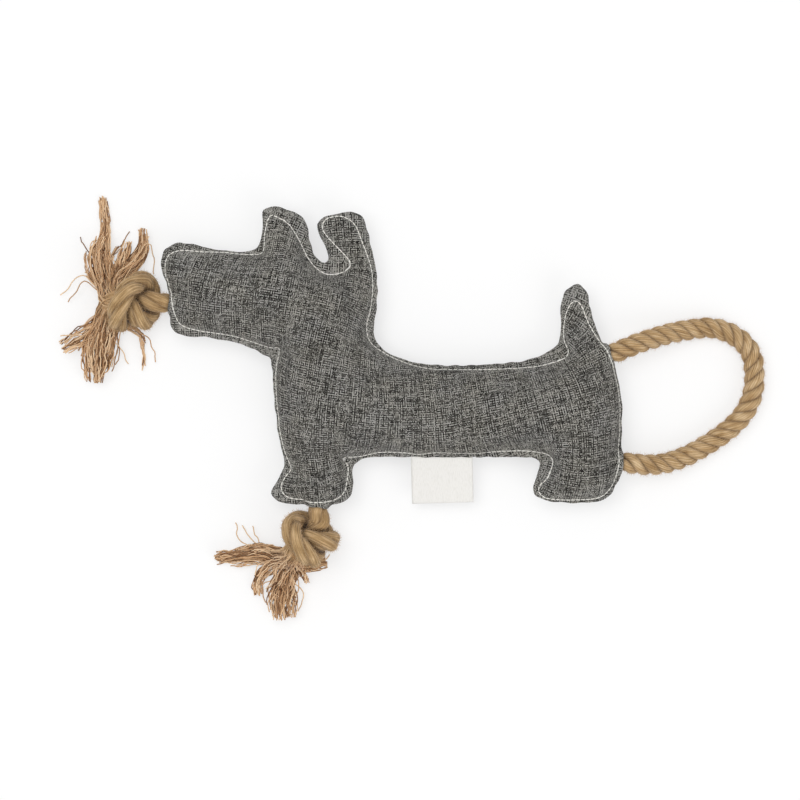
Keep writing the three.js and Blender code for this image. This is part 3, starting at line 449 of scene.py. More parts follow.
loopLine = loopPath(loopSettings)
pullLoop = laidRope("pullLoop", loopLine, ropeSettings["fullRadius"], ropeSettings["lay"],
                    roundedEnds(loopLine, ropeRadius))
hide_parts("pull_loop")
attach(pullLoop, "pull_loop")
print("pull loop", round(pathLength(loopLine)), "mm")


# overhand knot: an open knotted line drawn tight until its turns lie on one another
knotSettings = {
    "apart": 11.3, "lengthInRopes": 12.6, "points": 58, "rounds": 700, "passes": 12, "radius": 6.2,
    "lay": 44.0, "openReach": 2.25, "openSize": (1.6, 5, 9), "openRope": 12, "shorten": 0.996,
    "neighbourShare": 1.4, "tug": 0.02, "straighten": 0.97, "ease": 0.15, "nearShare": 1.15,
    "squeeze": (0.84, 1.06, 1.06), "liftRadius": 5.4, "firstLift": -30.0, "liftStep": 0.25,
    "mouthPoints": 24, "mouthRounds": 12,
}
knotStrands = dict(strandSettings, offsetShare=0.38, radiusShare=0.625)


def drawTight(settings):
    apart, count = settings["apart"], settings["points"]
    t = np.linspace(-settings["openReach"], settings["openReach"], count)
    wide, tall, deep = settings["openSize"]
    opened = np.stack([wide * (t**5 - 10 * t), tall * (t**4 - 4 * t**2 + 2), deep * (t**3 - 3 * t)], axis=1)
    curve = throughPoints(opened * apart / settings["openRope"], 12)
    spacing = pathLength(curve) / (count - 1)
    line = [list(p) for p in evenSteps(curve, spacing)[:count]]
    shortest = settings["lengthInRopes"] * apart / (count - 1)

    def move(a, b, wanted):
        pa, pb = line[a], line[b]
        dx, dy, dz = pb[0] - pa[0], pb[1] - pa[1], pb[2] - pa[2]
        far = math.sqrt(dx * dx + dy * dy + dz * dz)
        share = 0.5 * (far - wanted) / far
        for axis, offset in enumerate((dx, dy, dz)):
            pa[axis] += offset * share
            pb[axis] -= offset * share

    for _ in range(settings["rounds"]):
        spacing = max(shortest, settings["shorten"] * spacing)
        neighbours = math.ceil(settings["neighbourShare"] * apart / spacing)
        line[0][0] -= settings["tug"] * apart
        line[-1][0] += settings["tug"] * apart
        for end in (line[0], line[-1]):
            end[1] *= settings["straighten"]
            end[2] *= settings["straighten"]
        for i in range(1, count - 1):  # ease the bends
            for axis in range(3):
                between = 0.5 * (line[i - 1][axis] + line[i + 1][axis])
                line[i][axis] += settings["ease"] * (between - line[i][axis])
        spots = np.array(line)
        far = np.linalg.norm(spots[:, None] - spots[None], axis=2)
        pairs = np.argwhere(far < settings["nearShare"] * apart).tolist()
        near = [(i, j) for i, j in pairs if j >= i + neighbours]
        for _ in range(settings["passes"]):
            for i, j in near:
                pa, pb = line[i], line[j]
                if (pa[0] - pb[0])**2 + (pa[1] - pb[1])**2 + (pa[2] - pb[2])**2 < apart * apart:
                    move(i, j, apart)
            for i in range(count - 1):
                move(i, i + 1, spacing)
    spots = np.array(line)
    return spots - spots[0]


def turnMatrix(roll, lift, heading):
    turns = [Matrix.Rotation(math.radians(angle), 3, axis)
             for angle, axis in ((heading, "Z"), (-lift, "Y"), (roll, "X"))]
    return np.array(turns[0] @ turns[1] @ turns[2])


def layKnot(mouth, pose, settings):
    bend = atMouth(mouth, ropeSettings["bendOut"])
    line = knotLine * settings["squeeze"] * (1, 1, pose["hand"]) + (pose["lead"], 0, 0)
    line = np.vstack([(0, 0, 0), line])
    lift = settings["firstLift"]
    while True:
        lying = line @ turnMatrix(pose["roll"], lift, pose["heading"]).T + bend
        if lying[:, 2].min() - settings["liftRadius"] >= loopSettings["groundGap"]:
            break
        lift += settings["liftStep"]
    middle = lying[1:].mean(axis=0)
    lying[1:] = (lying[1:] - middle) @ turnMatrix(0, 0, pose["turn"]).T + middle
    return lying


knotLine = drawTight(knotSettings)
knotPoses = {
    "muzzle": {"heading": 180, "roll": 150, "hand": -1, "lead": 6.0, "turn": 0},
    "front_paw": {"heading": -112, "roll": 180, "hand": -1, "lead": 4.0, "turn": -25},
}


# a knot with the rope that leads to it, and the short neck it turns on in the seam
neckSettings = {"halfLength": 5.4, "thinner": 0.5, "rounding": 5.5}


def knotRope(mouth, name):
    laid = layKnot(mouth, knotPoses[mouth], knotSettings)
    bendOut, step = ropeSettings["bendOut"], ropeSettings["knotStep"]
    inside = atMouth(mouth, bendOut - ropeRadius + ropeSettings["overlap"])
    line = evenSteps(np.vstack([inside, throughPoints(laid, 8)]), step)
    last = knotSettings["mouthPoints"]
    for _ in range(knotSettings["mouthRounds"]):  # ease the turn just outside the mouth
        line[1:last] = 0.5 * line[1:last] + 0.25 * (line[:last - 1] + line[2:last + 1])
    piece = laidRope(name, line, knotSettings["radius"], knotSettings["lay"],
                     roundedEnds(line, ropeRadius, True, False), knotStrands, feltedRope)
    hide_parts(f"{mouth}_knot")
    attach(piece, f"{mouth}_knot")
    half = neckSettings["halfLength"]
    neckPath = evenSteps([atMouth(mouth, bendOut + out) for out in (-half, half)], step)
    neck = laidRope(name + "Neck", neckPath, ropeRadius - neckSettings["thinner"], knotSettings["lay"],
                    roundedEnds(neckPath, neckSettings["rounding"]), knotStrands, feltedRope)
    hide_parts(f"{mouth}_rope_neck")
    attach(neck, f"{mouth}_neck")
    return piece, neck, line


muzzleKnot, muzzleNeck, muzzleLine = knotRope("muzzle", "muzzleKnot")
pawKnot, pawNeck, pawLine = knotRope("front_paw", "pawKnot")
print("knots", round(pathLength(muzzleLine)), round(pathLength(pawLine)), "mm")


# rope ends sewn into the seam
ropeRoots = {"muzzle": "muzzleRoot", "front_paw": "pawRoot", "tail": "tailRoot", "rear_paw": "rumpRoot"}


def ropeRoot(mouth, name):
    ends = [atMouth(mouth, -ropeSettings["tuck"]), atMouth(mouth, -ropeSettings["rootGap"])]
    root = laidRope(name, evenSteps(ends, ropeSettings["knotStep"]), ropeRadius, ropeSettings["lay"])
    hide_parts(f"{mouth}_rope_root")
    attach(root, "toy_body")


for mouth, name in ropeRoots.items():
    ropeRoot(mouth, name)
print("sewn-in rope ends", len(ropeRoots))


# frayed rope ends: yarns fan out from the last turn of each knot and wave as they lie
yarnLook = {
    "dark": (0.18, 0.080, 0.031), "tan": (0.60, 0.36, 0.185), "pale": (0.82, 0.60, 0.385),
    "toneStops": (0.16, 0.42, 0.78), "toneShare": 0.7, "patchScale": 160.0, "root": (0.54, 0.355, 0.175),
    "rootReach": (0.1, 0.45), "rootShare": 0.75, "roughness": 0.9, "sheen": 0.2, "fineScale": 1500.0,
    "bump": 0.35, "bumpDepth": 0.2,
}


def yarnMaterial(look):
    material, tree, shader = newMaterial("frayedYarn", look["tan"], look["roughness"])
    place = objectPlace(tree)
    patches = noiseNode(tree, place, look["patchScale"], 3.0)[0]
    tone = sharedTone(tree, pointValue(tree, "tone"), patches, look["toneShare"])
    color = rampNode(tree, tone, look["toneStops"], (look["dark"], look["tan"], look["pale"]))
    root = mapped(tree, pointValue(tree, "along"), *look["rootReach"], look["rootShare"], 0.0)
    fine = noiseNode(tree, place, look["fineScale"], 2.0)[0]
    finishLook(tree, shader, mixColor(tree, root, color, look["root"]), fine, look)
    return material


frayedYarn = yarnMaterial(yarnLook)


# every node group takes named inputs and ends in realized, painted geometry
def startTree(name, inputs):
    tree = bpy.data.node_groups.new(name, "GeometryNodeTree")
    face = tree.interface
    face.new_socket("Geometry", in_out="INPUT", socket_type="NodeSocketGeometry")
    for label, kind in inputs.items():
        face.new_socket(label, in_out="INPUT", socket_type=f"NodeSocket{kind}")
    face.new_socket("Geometry", in_out="OUTPUT", socket_type="NodeSocketGeometry")
    return tree, tree.nodes.new("NodeGroupInput").outputs


def stored(tree, geometry, name, value):
    values = {"Geometry": geometry, "Name": name, "Value": value}
    node = addNode(tree, "GeometryNodeStoreNamedAttribute", values, domain="POINT", data_type="FLOAT")
    return node.outputs[0]


def endTree(tree, geometry, material, smooth=False):
    whole = addNode(tree, "GeometryNodeRealizeInstances", {0: geometry}).outputs[0]
    if smooth:
        whole = addNode(tree, "GeometryNodeSetShadeSmooth", {0: whole}).outputs[0]
    painted = addNode(tree, "GeometryNodeSetMaterial", {"Geometry": whole, "Material": material})
    tree.links.new(painted.outputs[0], tree.nodes.new("NodeGroupOutput").inputs[0])
    return tree


# waves loose yarns, least at their roots, and gives them thickness
def yarnTree():
    tree, given = startTree("looseYarns", {"Points": "Int", "Wave": "Float", "Wave Scale": "Float",
                                           "Radius": "Float", "Seed": "Int", "Material": "Material"})
    yarns = addNode(tree, "GeometryNodeResampleCurve", {"Curve": given["Geometry"], "Count": given["Points"]})
    along = tree.nodes.new("GeometryNodeSplineParameter").outputs["Factor"]
    which = tree.nodes.new("GeometryNodeInputIndex").outputs[0]
    perYarn = addNode(tree, "GeometryNodeFieldOnDomain", {0: which}, domain="CURVE", data_type="INT")
    picked = {"ID": perYarn.outputs[0], "Seed": given["Seed"]}
    tone = addNode(tree, "FunctionNodeRandomValue", picked).outputs[1]
    shift = mathNode(tree, "MULTIPLY", tone, 97.0)  # far apart, so that no two yarns wave alike
    place = tree.nodes.new("GeometryNodeInputPosition").outputs[0]
    noise = addNode(tree, "ShaderNodeTexNoise",
                    {"Vector": place, "W": shift, "Scale": given["Wave Scale"], "Detail": 1.0},
                    noise_dimensions="4D").outputs["Color"]
    centred = addNode(tree, "ShaderNodeVectorMath", {0: noise, 1: (0.5, 0.5, 0.5)}, operation="SUBTRACT")
    reach = mathNode(tree, "MULTIPLY", mapped(tree, along, 0.0, 0.5, 0.1, 1.0), given["Wave"])
    moved = scaled(tree, centred.outputs[0], reach)
    waved = addNode(tree, "GeometryNodeSetPosition", {"Geometry": yarns.outputs[0], "Offset": moved})
    marked = stored(tree, stored(tree, waved.outputs[0], "tone", tone), "along", along)
    ring = addNode(tree, "GeometryNodeCurvePrimitiveCircle", {"Resolution": 5, "Radius": given["Radius"]})
    tube = addNode(tree, "GeometryNodeCurveToMesh",
                   {"Curve": marked, "Profile Curve": ring.outputs[0], "Fill Caps": True})
    return endTree(tree, tube.outputs[0], given["Material"])


def addCurves(name, lines):
    data = bpy.data.curves.new(name, "CURVE")
    data.dimensions = "3D"
    for line in lines:
        spline = data.splines.new("POLY")
        spline.points.add(len(line) - 1)
        spline.points.foreach_set("co", np.hstack([np.asarray(line) * mm, np.ones((len(line), 1))]).ravel())
    return placed(name, data)


def grown(guide, tree, inputs):
    grower = guide.modifiers.new("grow", "NODES")
    grower.node_group = tree
    for socket in tree.interface.items_tree:
        if socket.in_out == "INPUT" and socket.name in inputs:
            grower[socket.identifier] = inputs[socket.name]
    mesh = evaluated(guide)
    name = guide.name
    bpy.data.objects.remove(guide)
    mesh.name = name
    return placed(name, mesh)


# each tuft is a few locks: route in millimetres, half width at the knot and at each point, and yarns;
# strays are single yarns that stand away from them
tuftSettings = {
    "yarnRadius": 0.36, "wave": 6.0, "waveScale": 120.0, "points": 30, "groundGap": 0.7, "perClump": 6,
    "gather": 0.75, "gatherPower": 1.5, "twist": 1.1, "inside": 7.0, "lockHeight": 0.8, "flatten": 0.85,
    "innermost": 0.02, "splay": 0.3, "clumpReach": (0.68, 1.14), "yarnReach": (0.86, 1.04), "leastPoints": 8,
    "apart": 0.32, "curl": 0.25, "curlTurns": (6, 13), "strayHeights": (9.0, 2.5), "aboveGap": 0.8,
}
tufts = {
    "muzzle_tuft_up": {
        "seed": 5,
        "locks": [
            {"route": [(-172.5, 43), (-174.5, 54), (-174, 66), (-173.4, 79), (-174.7, 96)],
             "widths": [4.5, 5, 5, 4, 2.6, 2], "yarns": 84},
            {"route": [(-172, 43), (-176, 54), (-177, 63), (-175, 71)], "widths": [4.5, 6, 7.5, 6.5, 4],
             "yarns": 78},
            {"route": [(-174, 40), (-179, 46), (-184.5, 50)], "widths": [4, 5, 4.4, 3], "yarns": 48},
        ],
        "strays": [[(-174, 52), (-180, 58), (-184, 64), (-188.5, 72)],
                   [(-178, 42), (-187, 48), (-192, 45), (-200, 38)],
                   [(-178, 40), (-186, 45), (-190, 39), (-196, 33)], [(-168, 60), (-163, 68), (-158, 76)]],
    },
    "muzzle_tuft_side": {
        "seed": 7,
        "locks": [
            {"route": [(-166, 44), (-160, 52), (-153.5, 58), (-149.5, 67), (-149.5, 77)],
             "widths": [4, 6, 6.4, 5.2, 4, 3], "yarns": 96},
            {"route": [(-169, 46), (-165, 55), (-162, 63), (-160, 70)], "widths": [4, 6, 5.5, 4, 2.6],
             "yarns": 60},
        ],
        "strays": [[(-152, 62), (-146, 68), (-144, 58), (-143.5, 50)]],
    },
    "muzzle_tuft_down": {
        "seed": 3,
        "locks": [
            {"route": [(-172.5, 18), (-176, 4), (-178, -6), (-179, -15)], "widths": [4.5, 7, 9, 8, 4.5],
             "yarns": 156},
            {"route": [(-175, 19), (-182, 13), (-190, 8), (-198, 3)], "widths": [4, 5, 5, 5, 4], "yarns": 60},
            {"route": [(-160, 19), (-151.5, 12), (-148.5, 2), (-149, -8)], "widths": [3, 2, 1.6, 1.6, 2],
             "yarns": 12},
        ],
        "strays": [[(-177, 18), (-184, 13), (-192, 12.5), (-200, 11)],
                   [(-160, 19), (-149, 14), (-144, 6), (-142, -3)], [(-168, 14), (-164, 5), (-158, -4)]],
    },
    "front_paw_tuft_left": {
        "seed": 13,
        "locks": [
            {"route": [(-69, -120), (-79, -117.5), (-91, -118.5), (-106, -121)],
             "widths": [4.5, 6, 6.4, 6, 4.2], "yarns": 138},
            {"route": [(-73, -125), (-80, -130), (-83, -137), (-82, -144)], "widths": [3, 4.4, 4.4, 3.6, 2.6],
             "yarns": 36},
        ],
        "strays": [[(-82, -115), (-91, -111), (-95, -101)], [(-78, -115), (-86, -110), (-90, -103)],
                   [(-76, -115), (-83, -108), (-84, -103)]],
    },
    "front_paw_tuft_down": {
        "seed": 11,
        "locks": [
            {"route": [(-63.5, -127), (-65, -137), (-67, -146), (-66.5, -158)],
             "widths": [4.5, 5.5, 6.5, 10, 8.5], "yarns": 186},
        ],
        "strays": [[(-70, -132), (-78, -139), (-76, -149)], [(-60, -134), (-53, -144), (-56, -155)]],
    },
    "front_paw_tuft_right": {
        "seed": 17,
        "locks": [
            {"route": [(-58, -127), (-55, -132), (-53.5, -137)], "widths": [4, 4.6, 4.4, 3.6], "yarns": 60},
            {"route": [(-57, -126), (-48, -128), (-39, -126)], "widths": [4, 5, 5, 4.4], "yarns": 72},
        ],
        "strays": [[(-48, -127), (-41, -124), (-37, -119)]],
    },
}


def lockLines(ropeEnd, ropeWay, lock, chance, settings):
    stations = [ropeEnd - settings["inside"] * ropeWay, ropeEnd]
    for (x, y), width in zip(lock["route"], lock["widths"][1:]):
        height = min(ropeEnd[2], settings["lockHeight"] * width + settings["groundGap"])
        stations.append(np.array((x, y, height)))
    middle = throughPoints(stations, 8)
    share = np.linspace(0, 1, len(middle))
    stated = [lock["widths"][0], *lock["widths"]]
    widths = np.interp(share, np.linspace(0, 1, len(stated)), stated)
    side, above = transported(middle)
    lines = []
    for _ in range(math.ceil(lock["yarns"] / settings["perClump"])):
        angle = chance.uniform(0, 2 * math.pi) + chance.normal(0, settings["twist"]) * share
        out = math.sqrt(chance.uniform(settings["innermost"], 1))
        splay = chance.normal(0, settings["splay"], 2)
        reach = chance.uniform(*settings["clumpReach"])
        for _ in range(settings["perClump"]):
            gathered = 1 - settings["gather"] * share**settings["gatherPower"]
            apart = chance.normal(0, settings["apart"], 2)[:, None] * gathered
            curl = chance.uniform(0, settings["curl"])
            curl = curl * np.sin(share * chance.uniform(*settings["curlTurns"]) + chance.uniform(0, 6))
            across = out * np.cos(angle) + splay[0] * share**2 + apart[0] + curl
            rise = out * np.sin(angle) + splay[1] * share**2 + apart[1]
            raised = (settings["flatten"] * widths * rise)[:, None] * above
            line = middle + (widths * across)[:, None] * side + raised
            ends = round(len(middle) * min(1.0, reach * chance.uniform(*settings["yarnReach"])))
            lines.append(line[:max(settings["leastPoints"], ends)])
    return lines


def tuftLines(rope, tuft, settings):
    chance = np.random.default_rng(tuft["seed"])
    ropeEnd = rope[-1]
    ropeWay = (ropeEnd - rope[-6]) / np.linalg.norm(ropeEnd - rope[-6])
    lines = [line for lock in tuft["locks"] for line in lockLines(ropeEnd, ropeWay, lock, chance, settings)]
    first, last = settings["strayHeights"]
    for stray in tuft["strays"]:
        heights = np.linspace(min(ropeEnd[2], first), last, len(stray))
        lines.append(throughPoints([ropeEnd] + [np.array((x, y, z)) for (x, y), z in zip(stray, heights)], 8))
    lowest = settings["groundGap"] + settings["yarnRadius"] + settings["aboveGap"]
    for line in lines:
        line[:, 2] = np.maximum(line[:, 2], lowest)
    return lines


# no yarn or fibre goes lower than this
leastHeight = 0.3


def raiseToGround(piece):
    for vertex in piece.data.vertices:
        vertex.co.z = max(vertex.co.z, leastHeight * mm)


looseYarns = yarnTree()


def makeTuft(node, mouth, rope):
    guide = addCurves(node.title().replace("_", ""), tuftLines(rope, tufts[node], tuftSettings))
    piece = grown(guide, looseYarns, {
        "Points": tuftSettings["points"], "Wave": tuftSettings["wave"] * mm,
        "Wave Scale": tuftSettings["waveScale"], "Radius": tuftSettings["yarnRadius"] * mm,
        "Seed": tufts[node]["seed"], "Material": frayedYarn})
    raiseToGround(piece)
    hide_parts(node)
    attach(piece, f"{mouth}_knot")
    return piece


muzzleTufts = [makeTuft(node, "muzzle", muzzleLine) for node in tufts if node.startswith("muzzle")]
pawTufts = [makeTuft(node, "front_paw", pawLine) for node in tufts if node.startswith("front_paw")]
print("tufts", sum(len(t.data.polygons) for t in muzzleTufts + pawTufts), "faces")


# short loose fibres that stand off the ropes
fuzzSettings = {"perArea": 600000.0, "fibre": 2.4, "fibreRadius": 0.06, "lean": 1.25}


def fuzzTree():
    tree, given = startTree("ropeFuzz", {"Density": "Float", "Length": "Float", "Radius": "Float",
                                         "Lean": "Float", "Seed": "Int", "Material": "Material"})
    roots = addNode(tree, "GeometryNodeDistributePointsOnFaces",
                    {"Mesh": given["Geometry"], "Density": given["Density"], "Seed": given["Seed"]}).outputs
    tone = addNode(tree, "FunctionNodeRandomValue", {"Seed": given["Seed"]}).outputs[1]
    toned = stored(tree, roots["Points"], "tone", tone)
    upright = addNode(tree, "FunctionNodeAlignRotationToVector", {"Vector": roots["Normal"]}, axis="Z")
    most = addNode(tree, "ShaderNodeCombineXYZ", {0: given["Lean"], 1: given["Lean"]}).outputs[0]
    least = scaled(tree, most, -1.0)
    askew = addNode(tree, "FunctionNodeRandomValue", {0: least, 1: most, "Seed": given["Seed"]},
                    data_type="FLOAT_VECTOR")
    tilt = addNode(tree, "FunctionNodeEulerToRotation", {0: askew.outputs[0]})
    leaning = addNode(tree, "FunctionNodeRotateRotation", {0: upright.outputs[0], 1: tilt.outputs[0]},
                      rotation_space="LOCAL")
    cone = {"Vertices": 3, "Radius Top": 0.0, "Radius Bottom": given["Radius"], "Depth": given["Length"]}
    fibre = addNode(tree, "GeometryNodeMeshCone", cone)
    fibres = addNode(tree, "GeometryNodeInstanceOnPoints",
                     {"Points": toned, "Instance": fibre.outputs["Mesh"], "Rotation": leaning.outputs[0]})
    return endTree(tree, fibres.outputs[0], given["Material"])


ropeFuzz = fuzzTree()


def makeFuzz(rope, body, seed):
    guide = placed(rope.name + "Fuzz", rope.data.copy())
    piece = grown(guide, ropeFuzz, {
        "Density": fuzzSettings["perArea"], "Length": fuzzSettings["fibre"] * mm,
        "Radius": fuzzSettings["fibreRadius"] * mm, "Lean": fuzzSettings["lean"], "Seed": seed,
        "Material": frayedYarn})
    raiseToGround(piece)
    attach(piece, body)
    return piece


loopFuzz = makeFuzz(pullLoop, "pull_loop", 21)
muzzleFuzz = makeFuzz(muzzleKnot, "muzzle_knot", 22)
pawFuzz = makeFuzz(pawKnot, "front_paw_knot", 23)
print("fuzz", sum(len(f.data.polygons) for f in (loopFuzz, muzzleFuzz, pawFuzz)), "faces")


# mottled grey cloth: plain weave of light and dark yarns, uneven along their length, with painted shade
# between the yarns and painted light along the seam margin
weaveUnit = 100.0  # millimetres of cloth to one unit of its map
clothLook = {
    "dark": (0.014, 0.013, 0.012), "mid": (0.135, 0.130, 0.117), "light": (0.50, 0.49, 0.455),
    "toneStops": (0.36, 0.5, 0.65), "pitch": 0.68, "streak": 18.0, "streakShare": 1.1, "yarnApart": 5.37,
    "layerApart": 9.0, "wander": 0.4, "wanderScale": 7.0, "fleck": 0.2, "pairs": 0.16, "turnScale": 60.0,
    "turnStops": (0.45, 0.55), "gap": 0.2, "gapWidth": 0.8, "marginLight": 0.05, "patchScale": 5.0,
    "castStops": (0.35, 0.65), "casts": ((0.96, 0.96, 0.975), (1.0, 0.985, 0.95)), "roughness": 0.95,
    "sheen": 0.1, "bump": 0.7, "bumpDepth": 0.4,
}


def clothMaterial(look):
    material, tree, shader = newMaterial("heatherCloth", look["mid"], look["roughness"])
    weave = addNode(tree, "ShaderNodeUVMap", uv_map="weave").outputs[0]
    drift = scaled(tree, noiseNode(tree, weave, look["wanderScale"], 2.0)["Color"], look["wander"])
    counted = scaled(tree, weave, weaveUnit / look["pitch"])
    yarns = addNode(tree, "ShaderNodeVectorMath", {0: counted, 1: drift}, operation="ADD").outputs[0]
    number = addNode(tree, "ShaderNodeVectorMath", {0: yarns}, operation="FLOOR").outputs[0]
    place = addNode(tree, "ShaderNodeSeparateXYZ", {0: yarns}).outputs
    which = addNode(tree, "ShaderNodeSeparateXYZ", {0: number}).outputs
    over = addNode(tree, "ShaderNodeTexChecker", {0: yarns, "Scale": 1.0}).outputs["Fac"]
    single = addNode(tree, "ShaderNodeTexWhiteNoise", {0: number}, noise_dimensions="2D").outputs["Value"]
    fleck = mathNode(tree, "MULTIPLY", mathNode(tree, "SUBTRACT", single, 0.5), look["fleck"])
    turns = noiseNode(tree, weave, look["turnScale"], 1.0)[0]
    swapped = mapped(tree, turns, *look["turnStops"], -1.0, 1.0)
    tones, ribs = [], []
    for across, along in ((0, 1), (1, 0)):
        ownPlace = mathNode(tree, "MULTIPLY", which[across], look["yarnApart"])
        run = mathNode(tree, "MULTIPLY", place[along], look["pitch"] / look["streak"])
        spot = addNode(tree, "ShaderNodeCombineXYZ", {0: ownPlace, 1: run, 2: look["layerApart"] * across})
        own = noiseNode(tree, spot.outputs[0], 1.0, 3.0, Roughness=0.7)[0]
        streaks = mathNode(tree, "MULTIPLY", mathNode(tree, "SUBTRACT", own, 0.5), look["streakShare"])
        # every other yarn is darker; one way of the weave, which one it is changes from patch to patch
        pair = mathNode(tree, "SUBTRACT", mathNode(tree, "FLOORED_MODULO", which[across], 2.0), 0.5)
        pairs = mathNode(tree, "MULTIPLY", pair, look["pairs"])
        if across == 0:
            pairs = mathNode(tree, "MULTIPLY", pairs, swapped)
        tones.append(mathNode(tree, "ADD", streaks, pairs))
        turn = mathNode(tree, "MULTIPLY", place[across], math.pi)
        ribs.append(mathNode(tree, "ABSOLUTE", mathNode(tree, "SINE", turn)))
    top = addNode(tree, "ShaderNodeMix", {0: over, 2: tones[0], 3: tones[1]}).outputs[0]
    rib = addNode(tree, "ShaderNodeMix", {0: over, 2: ribs[0], 3: ribs[1]}).outputs[0]
    # painted light: the cloth is lighter along the seam margin and just inside the stitching, for the light
    # the flat margin catches
    marginLight = mathNode(tree, "MULTIPLY", pointValue(tree, "marginLight"), look["marginLight"])
    tone = mathNode(tree, "ADD", mathNode(tree, "ADD", top, 0.5), mathNode(tree, "ADD", fleck, marginLight))
    color = rampNode(tree, tone, look["toneStops"], (look["dark"], look["mid"], look["light"]))
    # painted shade: each yarn is darkened towards its edges, darkest in the gaps between yarns
    shade = mapped(tree, rib, 0.0, look["gapWidth"], look["gap"], 1.0)
    shaded = mixColor(tree, 1.0, color, shade, "MULTIPLY")
    patches = noiseNode(tree, weave, look["patchScale"], 3.0)[0]
    cast = rampNode(tree, patches, look["castStops"], look["casts"])
    finishLook(tree, shader, mixColor(tree, 1.0, shaded, cast, "MULTIPLY"), rib, look)
    return material


heatherCloth = clothMaterial(clothLook)


# sewing line of the cover, read off the photograph part by part
sewingLine = {
    "muzzle": [(-135.5, 48.5), (-135.3, 57.3), (-133, 61), (-127, 63.2), (-113, 62.4), (-99, 62.2),
               (-86, 60.8)],
    "frontEar": [(-77.6, 61.6), (-76.2, 66.5), (-76.3, 71), (-74.6, 80), (-72.9, 84.4), (-68, 83),
                 (-62, 79.3), (-55, 68.6), (-51, 60.2)],
    "rearEar": [(-45.3, 52.8), (-39, 48.9), (-32, 49.2), (-25.5, 52.5), (-24.4, 55.3), (-26, 58.2),
                (-39, 72.2), (-41.5, 76.3), (-40.7, 80.5), (-38.5, 82.5), (-32, 84), (-26, 82.2),
                (-22, 78.7), (-17.5, 68)],
    "nape": [(-12.2, 52.5), (-11.3, 41), (-12.5, 29), (-15, 16.5), (-12.8, 8.4), (-7.2, 3.6),
             (4.3, -2.6)],
    "back": [(21, -7.5), (43, -8.3), (73, -7.5), (90, -5.8), (105, -0.6)],
    "tail": [(106.3, 2.6), (103.6, 9), (104, 22.5), (107, 30.6), (110.3, 33.4), (113.3, 31.2),
             (118, 20), (122.7, 11.8)],
    "rump": [(130.3, 1), (134, -7.6), (136.6, -19.5), (137, -32.4), (136.8, -45), (136, -55),
             (135.8, -66.8)],
    "rearPaw": [(131.7, -78.6), (125.4, -84.6), (116.7, -86), (100, -86.2), (92, -85), (88.5, -82),
                (88.5, -78), (93.3, -73.8), (95, -70), (96.9, -62.8), (94.2, -59.3)],
    "belly": [(83, -57.1), (65, -57.2), (49, -58.5), (26, -58), (16, -59), (8, -58), (-8, -57.9),
              (-18.3, -60.2), (-24.7, -60.7)],
    "frontPaw": [(-30, -61.1), (-27, -64.4), (-26, -66.6), (-26.7, -75), (-28.4, -81.6), (-33.4, -86),
                 (-41.5, -87.6), (-49.6, -87.6), (-53.7, -86), (-60.3, -85.4), (-65, -82.6),
                 (-66, -77.2), (-62.4, -70.8)],
    "chest": [(-59.8, -67.8), (-62.7, -61), (-66.3, -48.3), (-68.4, -30.6), (-69.2, -19.2),
              (-69.2, -7.8)],
    "chin": [(-67.2, 5.7), (-70.7, 4.8), (-84, 8.6), (-95, 12), (-117.5, 15.6), (-126.4, 18.8),
             (-129.5, 23.8), (-132, 35.8)],
}
coverSettings = {
    "readStep": 1.0, "smoothRounds": 3, "edgeStep": 1.6, "ruffle": 0.35, "ruffleTurns": (83, 3, 9, 13),
    "perSpan": 12, "leastInset": 1.3, "lattice": 1.85, "latticeClear": 0.6, "filmRounds": 900,
    "filmClose": 1e-10, "swell": 0.88, "soften": 6.0, "rim": 1.1, "rimRound": 1.2, "groove": 0.4,
    "grooveWidth": 0.8, "pucker": 0.3, "puckerLength": 7.5, "puckerDrift": (2.5, 23, 31), "puckerReach": 7,
    "puckerStart": 2, "mouthRadius": 6.9, "mouthReach": 13.0, "mouthFade": 6, "labelMiddle": 30.15,
    "labelHalf": 18.5, "labelGap": 1.3, "labelTop": -55.0, "labelBeside": 2.5, "labelFade": 2.0,
    "labelFall": 4, "marginLightReach": 2.0, "heldBy": 0.9, "heldArch": 0.1, "cloth": 0.6,
}


# the panel's own edge: edges with the visible side of the cloth on one side only
def panelOutline(node):
    work = bmesh.new()
    work.from_mesh(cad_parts[node].data)
    bmesh.ops.remove_doubles(work, verts=work.verts, dist=1e-6)
    work.normal_update()
    beside = {}
    for edge in work.edges:
        if sum(face.normal.z > 1e-4 for face in edge.link_faces) == 1:
            a, b = edge.verts
            beside.setdefault(a, []).append(b)
            beside.setdefault(b, []).append(a)
    loops, seen = [], set()
    for start in beside:
        if start in seen:
            continue
        loop, here = [], start
        while here is not None and here not in seen:
            seen.add(here)
            loop.append((here.co.x / mm, here.co.y / mm))
            here = next((v for v in beside[here] if v not in seen), None)
        loops.append(loop)
    work.free()
    longest = max(loops, key=lambda loop: pathLength(loop))
    return np.array(longest)


def closedSteps(points, step):
    return evenSteps(np.vstack([points, points[:1]]), step)[:-1]


def insideOf(points, loop):
    x, y = points[:, 0][:, None], points[:, 1][:, None]
    ax, ay = loop[:, 0][None], loop[:, 1][None]
    bx, by = np.roll(loop[:, 0], -1)[None], np.roll(loop[:, 1], -1)[None]
    with np.errstate(divide="ignore", invalid="ignore"):
        crosses = ((ay > y) != (by > y)) & (x < (bx - ax) * (y - ay) / (by - ay) + ax)
    return crosses.sum(axis=1) % 2 == 1


def nearestOn(points, loop):
    ends = np.roll(loop, -1, axis=0)
    span = ends - loop
    offset = points[:, None] - loop[None]
    share = np.clip((offset * span[None]).sum(axis=2) / np.maximum((span**2).sum(axis=1), 1e-9)[None], 0, 1)
    far = np.linalg.norm(offset - share[..., None] * span[None], axis=2)
    which = far.argmin(axis=1)
    row = np.arange(len(points))
    return far[row, which], which + share[row, which], loop[which] + share[row, which][:, None] * span[which]


